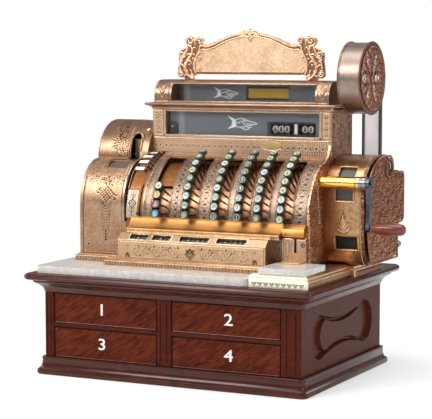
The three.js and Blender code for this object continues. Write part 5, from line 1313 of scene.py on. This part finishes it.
def left_fittings():
    """Hood round the arch in the barrel with a backing painted brighter against the shade in it, the ball beside it,
    a dark sheet of painted shade in the housing's window, and beside the slide bank a black strip of painted shade in
    the gap and a pale strip of painted highlight along the housing's edge.
    """
    hood, ball, cover = Shape(), Shape(), Shape()
    centre, reach = -191.98, 14
    spring = BARREL_AXIS[1] + BARREL_RADIUS * math.sin(math.radians(42)) - 12
    path = [(centre - reach, z) for z in np.linspace(457, spring, 9)]
    path += [(centre - reach * math.cos(t), spring + reach * math.sin(t))
        for t in np.linspace(0.2, math.pi - 0.2, 12)]
    path += [(centre + reach, z) for z in np.linspace(spring, 472, 6)]

    def on_barrel(z):
        return BARREL_AXIS[0] - math.sqrt(max((BARREL_RADIUS + 0.6) ** 2 - (z - BARREL_AXIS[1]) ** 2, 0))

    hood.tube([(x, on_barrel(z) + 1.2, z) for x, z in path], np.linspace(5.2, 3.0, len(path)), 12)
    hood.piece("arch_hood", "barrel_cover")
    ball.turned([(0, 0), (1.6, 0), (1.5, 3), (3.2, 4.2), (4.3, 7), (3.4, 10), (0, 11.4)],
        set_out((-166, on_barrel(514.5) + 0.4, 514.5), (1, 0, 0), (0, 0.5, 0.85)), 18)
    ball.piece("barrel_ball", "pale_brass")
    # painted light: a backing made brighter than the shade inside the arch allows
    bars("arch_backing", "arch_inner", 10.6, 11.4, ((-204.4, -179.6, 455.5, 497),), slot="dark_brass")
    # painted shade: a dark sheet in the housing's window stands for its shaded inside
    arc = arc_points(HOUSING_AXIS, (72.6, 93.6), 59.4, 80.6, 9)
    cover.sheet([[(x, y, z) for x in (-239.2, -190.8)] for y, z in arc])
    cover.piece("housing_card", "housing_card", slot="dark_brass")
    side = housing_side()
    # painted shade: a black strip over the gap beside the slide bank; painted highlight: a pale strip along the
    # housing's edge beside it
    for name, left, width, rise, look in (("housing_gap_shade", -172.4, 6.6, 3.2, "gap_black"),
            ("housing_edge_highlight", -179.8, 7.0, 2.8, "pale_lip")):
        Relief(width, side.length - 73.5).piece(name, side.face(left, 72), look, base=rise, skirt=0.5)


def right_fittings():
    """Plate, crank collar, dark cards of painted shade at the floors of the printer's windows and in the printer's
    and lock block's slots, and beads of the casting.
    """
    plate, collar, cards, slot_shade_card, beads = Shape(), Shape(), Shape(), Shape(), Shape()
    plate.block((212, -145, 258.5), (262, -118.3, 260.8))
    plate.piece("receipt_plate", "pale_brass", bevel=0.6)
    collar.turned([(12.7, 346), (13.4, 346.5), (13.4, 349), (12.2, 349.8), (11.6, 352), (12.6, 353), (14.25, 354.5),
        (14.25, 358), (13.3, 359), (13.3, 361), (14.2, 362), (14.2, 368.6), (13, 369.45), (8, 369.45)],
        set_out((0, *CRANK_AXIS), *RIGHT), 32)
    collar.piece("crank_collar", "steel", NODE_BODY["crank_shaft"], "steel")
    # painted shade: dark cards on the floors of the printer's windows stand for the shaded inside
    cards.block((293.3, -18.9, 382.6), (329.7, -18.2, 406))
    arc = arc_points((PRINTER_CROWN[0] - 0.5, PRINTER_CROWN[1] + 0.5), (90, 63), 25.5, 45.9, 9)
    cards.sheet([[(x, y, z) for x in (293.3, 329.7)] for y, z in arc])
    cards.piece("printer_shade_cards", "window_card", slot="dark_brass")
    # painted shade: black cards in the printer's slot and in the lock block's slot
    slot_shade_card.block((292.3, -8.35, 280.6), (339.7, -8.15, 307))
    slot_shade_card.block((238.1, -110.55, 277.9), (242.7, -110.3, 307.5))
    slot_shade_card.piece("slot_shade_card", "slot_black", slot="dark_brass")
    for z in np.arange(336, 426, 5.6):
        y = np.interp(z, (335, 350, 384, 414, 432), (-50, -52, -58, -64, -70))
        beads.turned([(2.5, 0), (2.3, 1.6), (1.3, 2.6), (0, 2.9)], set_out((266.1, y, z), *RIGHT), 10)
    beads.piece("casting_beads", "pale_lip")


def counter_frames():
    """Bright frames of the four counter windows, on the slope of the counter box."""
    frames, slope = Shape(), set_out((0, -150, 291), (1, 0, 0), (0, 14, 13))
    for share in ((0.078, 0.204), (0.233, 0.359), (0.42, 0.618), (0.67, 0.868)):
        x0, x1 = (-160 + 348 * k for k in share)
        for row in ((x0 - 2, 0.4, x1 + 2, 2.4), (x0 - 2, 16.7, x1 + 2, 18.7), (x0 - 2, 0.4, x0 + 0.2, 18.7),
                (x1 - 0.2, 0.4, x1 + 2, 18.7)):
            frames.slab(oblong(*row), slope, 1.0)
    frames.piece("counter_frames", "frame_bright", bevel=0.35)


wheel_digits()
drawer_marks()
painted_hand("lower_hand", (54, 23.7, 536), 1.0)
painted_hand("upper_hand", (2, 49.7, 600), 0.85)
for fittings in (indicator_trim, banks_trim, left_fittings, right_fittings, counter_frames):
    fittings()


# Sign: cast scrolls, rope and rosette over the plain plate

SIGN_X, SIGN_FRONT, SIGN_Z, SIGN_HALF, SIGN_HEIGHT = 60.0, 45.6, 629.3, 175.0, 111.0
# Strands at both sides, by shares of the sign's half width and height, with their radii
SIGN_STRANDS = (
    ([(0.79, 0.02), (0.86, 0.1), (0.9, 0.24), (0.865, 0.38), (0.81, 0.5), (0.8, 0.6), (0.83, 0.68)],
        (2.6, 3.2, 3.6, 3.0, 2.4, 2.2, 2.0), 0),
    ([(0.93, 0.08), (0.975, 0.2), (0.96, 0.36), (0.91, 0.5), (0.87, 0.6), (0.86, 0.7)],
        (2.2, 2.8, 2.8, 2.4, 2.2, 1.8), 0),
    ([(0.745, 0.12), (0.775, 0.24), (0.765, 0.38), (0.725, 0.5), (0.7, 0.6), (0.68, 0.7)],
        (1.6, 2.4, 2.6, 2.2, 1.8, 1.6), 0),
    ([(0.0, 0.855), (0.12, 0.845), (0.27, 0.795), (0.4, 0.71), (0.52, 0.625), (0.6, 0.595), (0.66, 0.6),
        (0.72, 0.52)], (1.3, 1.3), 0.2),
    ([(0.735, 0.4), (0.775, 0.28), (0.755, 0.17), (0.73, 0.125), (0.4, 0.118), (0, 0.118)], (1.2, 1.2), -2.0),
    ([(0.0, 0.76), (0.03, 0.83), (0.075, 0.88), (0.12, 0.895)], (0.8, 2.0, 2.0, 1.4), 0.4),
    ([(0.0, 0.8), (0.02, 0.84), (0.045, 0.87)], (0.8, 1.5, 1.0), 1.4),
)
# Leaves: start, end, bend and radius
SIGN_LEAVES = (
    ((0.9, 0.24), (0.985, 0.3), 0.03, 1.9), ((0.87, 0.38), (0.79, 0.3), 0.03, 1.9),
    ((0.81, 0.5), (0.9, 0.47), 0.02, 1.8), ((0.8, 0.6), (0.74, 0.62), 0.03, 1.7),
    ((0.82, 0.66), (0.88, 0.66), 0.02, 1.6), ((0.86, 0.12), (0.93, 0.02), 0.02, 1.8),
    ((0.81, 0.06), (0.76, 0.02), 0.01, 1.8), ((0.83, 0.2), (0.8, 0.12), 0.02, 1.5),
    ((0.93, 0.36), (0.99, 0.42), 0.01, 1.5), ((0.72, 0.5), (0.66, 0.53), 0.03, 1.6),
    ((0.69, 0.66), (0.62, 0.64), 0.03, 1.5), ((0.76, 0.38), (0.71, 0.36), 0.02, 1.4),
    ((0.75, 0.7), (0.78, 0.8), 0.02, 1.6), ((0.6, 0.645), (0.55, 0.7), 0.02, 1.2),
)
# Scrolls: centre, radius, turns, start, hand, bar and depth
SIGN_CURLS = (
    ((0.825, 0.765), 11.5, 1.5, 250, 1, 2.6, 0.6), ((0.69, 0.785), 7.0, 1.4, 290, -1, 2.0, 0.6),
    ((0.94, 0.5), 8.2, 1.4, 200, 1, 2.1, 0.6), ((0.955, 0.125), 7.8, 1.4, 100, -1, 2.1, 0.6),
    ((0.8, 0.055), 6.2, 1.3, 60, 1, 1.9, 0.6), ((0.7, 0.42), 5.2, 1.3, 150, -1, 1.4, 0.2),
    ((0.72, 0.2), 5.4, 1.3, 90, 1, 1.4, 0.2), ((0.115, 0.905), 5.4, 1.3, 200, 1, 1.7, 0.6),
)
SIGN_STUDS = ((0.84, 0.3), (0.845, 0.45), (0.775, 0.5), (0.9, 0.33), (0.755, 0.7), (0.87, 0.17), (0.93, 0.6),
    (0.79, 0.42))
ROPE_STEP = 4.6
SIGN_TOP = [(0.02, 0.945), (0.1, 0.915), (0.25, 0.87), (0.39, 0.79), (0.52, 0.70), (0.6, 0.675), (0.66, 0.685)]


def on_sign(side, u, w, depth=0.0):
    """A point at shares of the sign's half width and height, in front of it by a depth."""
    return SIGN_X + side * u * SIGN_HALF, SIGN_FRONT - depth, SIGN_Z + w * SIGN_HEIGHT


def rounded(points, per_span=8):
    """A smooth line through points."""
    p = np.array(points, float)
    p = np.concatenate([[2 * p[0] - p[1]], p, [2 * p[-1] - p[-2]]])
    t = np.linspace(0, 1, per_span, endpoint=False)[:, None]
    rows = [0.5 * (2 * b + (c - a) * t + (2 * a - 5 * b + 4 * c - d) * t ** 2 + (3 * b - a - 3 * c + d) * t ** 3)
        for a, b, c, d in zip(p, p[1:], p[2:], p[3:])]
    return np.concatenate(rows + [p[-2:-1]])


def sign_strand(shape, shares, radii, depth, sides=SIDES):
    line = rounded(shares)
    thick = np.interp(np.linspace(0, 1, len(line)), np.linspace(0, 1, len(radii)), radii)
    for side in sides:
        shape.tube([on_sign(side, u, w, depth) for u, w in line], thick, 8)


def sign_ornament():
    strands = Shape()
    for shares, radii, depth in SIGN_STRANDS:
        sign_strand(strands, shares, radii, depth)
    for start, end, bend, wide in SIGN_LEAVES:
        middle = ((start[0] + end[0]) / 2, (start[1] + end[1]) / 2 + bend)
        sign_strand(strands, [start, middle, end], (wide, wide * 1.15, 0.5), 0.5)
    t = np.linspace(0, 1, 26)
    for share, radius, turns, start, hand, wide, depth in SIGN_CURLS:
        angle = math.radians(start) + hand * t * turns * 2 * math.pi
        reach = radius * (1 - 0.85 * t)
        for side in SIDES:
            x, y, z = on_sign(side, *share, depth)
            strands.tube(list(zip(x + side * reach * np.cos(angle), y - 1.2 * t, z + reach * np.sin(angle))),
                wide * (0.75 + 0.25 * t) * (1 - 0.25 * t), 8)
    for u, w in SIGN_STUDS:
        for side in SIDES:
            place = set_out(on_sign(side, u, w, -0.5), *FRONT)
            strands.turned([(2.6, -0.5), (2.4, 0.9), (1.4, 2.0), (0, 2.4)], place, 12)

    # Rope along the top edge: a bar whose thickness comes and goes
    top = rounded(SIGN_TOP, 10)
    length = np.r_[0, np.cumsum(np.hypot(*(np.diff(top, axis=0) * (SIGN_HALF, SIGN_HEIGHT)).T))]
    along = np.arange(0, length[-1], 0.9)
    u, w = (np.interp(along, length, top[:, k]) for k in (0, 1))
    twist = 2.5 + 0.75 * np.sin(2 * math.pi * along / ROPE_STEP)
    for side in SIDES:
        strands.tube([on_sign(side, a, b - 0.016) for a, b in zip(u, w)], twist, 8)

    # Rosette at the crown
    for turn in np.radians(np.arange(-80, 81, 20)):
        tip = (0.078 * math.sin(turn), 0.92 + 0.088 * math.cos(turn))
        sign_strand(strands, [(0, 0.9), (tip[0] * 0.6, 0.9 + (tip[1] - 0.9) * 0.6), tip], (1.0, 2.2, 0.7), 0.8, (1,))
    strands.turned([(4.4, -0.5), (4.2, 1.6), (2.6, 3.0), (0, 3.6)], set_out(on_sign(1, 0, 0.885, -0.5), *FRONT), 18)
    strands.piece("sign_strands", "top_sign", smooth=60)


# Rim, ring and scrolls of the printer's side plate


def rim_path(points, inset):
    """A closed line moved inwards by an inset."""
    p = np.array(points, float)
    run = np.roll(p, -1, 0) - np.roll(p, 1, 0)
    run /= np.linalg.norm(run, axis=1, keepdims=True)
    off = np.stack([-run[:, 1], run[:, 0]], -1)
    area = (p[:, 0] * np.roll(p[:, 1], -1) - np.roll(p[:, 0], -1) * p[:, 1]).sum()
    return p + off * inset * np.sign(area)


SIDE_PLATE = [(150, 246.8), (150, 316), (154, 321), (175, 322.6), (183, 326), (187, 334), (187, 422), (183, 431),
    (175, 434.3), (126, 435.5), (121.5, 440.4)]
SIDE_PLATE += [(94 + 28 * math.cos(t), 445.3 + 28 * math.sin(t)) for t in np.radians(np.arange(0, 90, 10))]
SIDE_PLATE += [*arc_points(PRINTER_CROWN, (101, 74), 90, 0, 22), (-29, 362)]
SIDE_PLATE += [*arc_points(PRINTER_WAIST, (31, 80), 0, -88, 16)]
RING_CENTRE = (88, 445.3)


def inside(outline, a, b):
    """Whether points lie in an outline."""
    found = np.zeros(a.shape, bool)
    for (y0, z0), (y1, z1) in zip(outline, np.roll(outline, -1, 0)):
        if z0 != z1:
            found ^= ((z0 > b) != (z1 > b)) & (a < (y1 - y0) * (b - z0) / (z1 - z0) + y0)
    return found


def side_plate_trim():
    path = rim_path(SIDE_PLATE, 2.4)
    rim, ring = Shape(), Shape()
    rim.tube([(365.3, y, z) for y, z in path], [2.1] * len(path), 8, closed=True)
    rim.piece("side_plate_rim", "dark_relief", slot="dark_brass", smooth=60)
    seat = set_out((365.2, *RING_CENTRE), *RIGHT)
    ring.turned([(16.5, 0), (16.8, 4.3), (18.4, 5.0), (20.2, 4.4), (20.7, 0)], seat, 36)
    ring.turned([(0, 0.35), (14.2, 0.35)], seat, 36, [1])
    for y, z in ((8, 262), (8, 420), (138, 262), (176, 345), (176, 420)):
        ring.turned([(4.2, 0), (3.9, 1.2), (2.4, 1.9), (0, 2.1)], set_out((365.2, y, z), *RIGHT), 16)
    ring.piece("side_plate_ring", "dark_relief window_dark", slot="dark_brass")


def side_plate_scrolls(size=23, wide=1.7):
    """Scrolls and leaves all over the plate, in rows whose hands and turns alternate."""
    low, high = box_mm("printer_side_plate")
    face = Relief(high[1] - low[1], high[2] - low[2], 1.5)
    for j in range(int(face.height / size) + 1):
        for k in range(int(face.width / size) + 1):
            u, v = (k + 0.5 * (j % 2)) * size, (j + 0.25 + 0.618 * k % 1) * size
            turn = 137.5 * (3 * j + k)
            face.draw(curl(size * 0.46, 1.5, turn, 1 if (j + k) % 2 else -1, wide), (u, v), height=1.7)
            face.draw(spray(3, size * 0.42, wide * 0.9, 80), (u + size * 0.5, v + size * 0.1), turn, height=1.7)
    edge = rim_path(SIDE_PLATE, 4.5)
    face.drop(lambda u, v: ~inside(edge, u + low[1], v + low[2]))
    for (y, z), radius in ((RING_CENTRE, 21), (CRANK_AXIS, 15)):
        face.drop(lambda u, v: np.hypot(u + low[1] - y, v + low[2] - z) < radius)
    face.piece("side_plate_scrolls", flat((high[0], low[1], low[2]), *RIGHT), "plate_relief", slot="dark_brass")


def front_ledge():
    """A polished cove over a pale lip, and its short end over the lock block."""
    low, high = box_mm("front_ledge")
    wall, lip, base = high[1], low[1] + 4, low[2] + 0.1
    cove = [(wall - 1, base + 34)]
    cove += [(wall - 2 - 19.5 * t, base + 33.6 - 22.6 * (1 - (1 - t) ** 1.7)) for t in np.linspace(0, 1, 9)]
    edge = [(lip, base + 10.6), (lip - 1.4, base + 8.6), (lip - 1.2, base + 6.6), (lip, base + 5.4), (lip + 1, base)]
    profile = [(wall - 0.1, base), (wall - 0.1, base + 34)] + cove + edge
    looks = [0, 0, 1] + [0] * (len(profile) - len(edge)) + [1] * (len(edge) - 1)
    ledge, end = Shape(), Shape()
    ledge.slab(profile, set_out((low[0] + 0.2, 0, 0), *RIGHT), high[0] - low[0] - 0.4, looks)
    ledge.piece("polished_ledge", "front_ledge pale_lip", slot="polished_brass", nodes=("front_ledge",), smooth=50)

    (left, _, _), (right, wall, foot) = box_mm("lock_block")
    foot += 0.1
    profile = [(wall, foot), (wall, foot + 25), (wall - 2.5, foot + 25.4)]
    profile += [(wall - 4 - 9 * t, foot + 24 - 9 * t ** 1.4) for t in np.linspace(0, 1, 6)] + [(wall - 13.4, foot)]
    end.slab(profile, set_out((left + 0.3, 0, 0), *RIGHT), right - left - 3.8)
    end.turned([(2.4, 0), (2.4, 0.8), (1.4, 1.4), (0, 1.5)], set_out((left + 7, wall - 13.4, foot + 7), *FRONT), 14)
    end.piece("ledge_end", "front_ledge", slot="polished_brass", smooth=50)


def drum_filigree():
    shape, rims = Shape(), Shape()
    x, (y, z) = 336.6, DRUM_AXIS
    t = np.linspace(0, 1, 20)

    def scroll(reach, at, radius, start, hand, wide):
        turn = at + start + hand * t * 2.6 * math.pi
        r = radius * (1 - 0.82 * t)
        path = zip(y + reach * math.cos(at) + r * np.cos(turn), z + reach * math.sin(at) + r * np.sin(turn))
        shape.tube([(x, a, b) for a, b in path], wide * (0.7 + 0.3 * t), 7)

    for k in range(12):
        at = 2 * math.pi * (k + 0.5) / 12
        for hand in SIDES:
            scroll(57, at + hand * 0.1, 6.6, hand * 1.3, -hand, 1.25)
            scroll(43, at + hand * 0.14, 4.6, hand * 1.9, hand, 1.2)
        scroll(29, at, 4.4, 0.6, 1, 1.2)
        scroll(52, at + math.pi / 12, 4.2, 2.4, -1, 1.1)
    for reach, wide in ((66.5, 1.3), (36, 1.1), (22, 1.2)):
        shape.hoop(x, DRUM_AXIS, reach, wide, 60)
    shape.turned([(9.5, 0), (8.5, 1.6), (5, 2.6), (0, 3)], set_out((335.8, y, z), *RIGHT), 24)
    shape.piece("drum_filigree", "grille_copper", slot="dark_brass", smooth=60)
    for at in (285.6, 333.4):
        rims.hoop(at, DRUM_AXIS, 77, 1.5, 72)
    rims.piece("drum_rims", "dark_relief", smooth=60)


for ornament in (sign_ornament, side_plate_trim, side_plate_scrolls, front_ledge, drum_filigree):
    ornament()


# Camera, light and floor

AZIMUTH, ELEVATION, DISTANCE, TARGET, FOCAL_PX, IMAGE_WIDTH_PX = 26.22, 5.43, 3720.5, (1.1, 0.0, 348.6), 1707.9, 432


def aim(obj, target, azimuth, elevation, distance):
    """Sets an object at a distance from a target, in metres, seen from an azimuth and elevation in degrees."""
    a, e = math.radians(azimuth), math.radians(elevation)
    back = Vector((math.sin(a) * math.cos(e), -math.cos(a) * math.cos(e), math.sin(e)))
    obj.location = Vector(target) + back * distance
    obj.rotation_euler = (-back).to_track_quat("-Z", "Y").to_euler()
    bpy.context.scene.collection.objects.link(obj)


def make_camera():
    data = bpy.data.cameras.new("camera")
    data.sensor_width = 36
    data.lens = FOCAL_PX / IMAGE_WIDTH_PX * data.sensor_width
    data.clip_start, data.clip_end = 0.05, 200
    camera = bpy.data.objects.new("camera", data)
    aim(camera, Vector(TARGET) * MM, AZIMUTH, ELEVATION, DISTANCE * MM)
    bpy.context.scene.camera = camera


def area_light(name, azimuth, elevation, distance, size, power):
    data = bpy.data.lights.new(name, "AREA")
    data.shape, data.energy = "RECTANGLE", power
    data.size, data.size_y = size
    light = bpy.data.objects.new(name, data)
    light.visible_camera = False
    aim(light, (0, 0, 0.38), azimuth, elevation, distance)


def make_world():
    """A white backdrop for the camera, and a room that is darker below for everything else."""
    world = bpy.data.worlds.new("studio")
    world.use_nodes = True
    bpy.context.scene.world = world
    tree = world.node_tree
    tree.nodes.clear()
    kinds = "OutputWorld MixShader Background Background LightPath TexCoord SeparateXYZ ValToRGB Math"
    out, mix, seen, room, rays, coordinates, split, ramp, raised = (
        tree.nodes.new("ShaderNode" + kind) for kind in kinds.split())
    raised.operation = "MULTIPLY_ADD"
    raised.inputs[1].default_value = raised.inputs[2].default_value = 0.5
    seen.inputs["Color"].default_value = (1, 1, 1, 1)
    seen.inputs["Strength"].default_value = 1.02
    room.inputs["Strength"].default_value = 0.62
    set_stops(ramp, ((0.0, 0.16), (0.47, 0.20), (0.56, 0.34), (0.75, 0.62), (1.0, 1.0)))
    for source, target in ((coordinates.outputs["Generated"], split.inputs[0]),
            (split.outputs["Z"], raised.inputs[0]), (raised.outputs[0], ramp.inputs["Fac"]),
            (ramp.outputs["Color"], room.inputs["Color"]),
            (rays.outputs["Is Camera Ray"], mix.inputs["Fac"]), (room.outputs[0], mix.inputs[1]),
            (seen.outputs[0], mix.inputs[2]), (mix.outputs[0], out.inputs["Surface"])):
        tree.links.new(source, target)


def floor_finish():
    """A pale floor that turns as white as the backdrop away from the machine."""
    s = Shader("floor_look", Roughness=0.9)
    s.finish(Base_Color=s.mix(s.noise(400), (0.93, 0.93, 0.93), (0.9, 0.9, 0.9)))
    far = s.node("VectorMath", {"operation": "LENGTH"})
    s.put(far.inputs[0], s.place)
    fade = s.node("MapRange", {"interpolation_type": "SMOOTHSTEP"}, Value=far.outputs["Value"],
        From_Min=0.35, From_Max=1.3, To_Min=0.45, To_Max=1.0).outputs["Result"]
    glow = s.node("Emission", Color=(1, 1, 1), Strength=1.0)
    blend = s.node("MixShader", Fac=s.math("MULTIPLY", fade, s.node("LightPath").outputs["Is Camera Ray"]))
    for source, target in ((s.surface, blend.inputs[1]), (glow, blend.inputs[2]),
            (blend, s.tree.nodes["Material Output"].inputs["Surface"])):
        s.tree.links.new(source.outputs[0], target)
    return s.material


def make_stage(reach=40):
    mesh = bpy.data.meshes.new("floor")
    mesh.from_pydata([(*corner, 0) for corner in oblong(-reach, -reach, reach, reach)], [], [(0, 1, 2, 3)])
    mesh.materials.append(floor_finish())
    floor = bpy.data.objects.new("floor", mesh)
    bpy.context.scene.collection.objects.link(floor)


bpy.context.scene.view_settings.view_transform = "Standard"
make_camera()
make_world()
make_stage()
area_light("key_light", -28, 32, 3.2, (1.5, 1.2), 62)
area_light("top_light", 20, 78, 2.8, (2.2, 1.8), 55)
area_light("right_light", 75, 20, 3.4, (0.9, 1.8), 30)
area_light("left_light", -85, 25, 3.4, (0.8, 1.8), 26)
area_light("back_light", 170, 35, 3.6, (2.4, 1.4), 30)
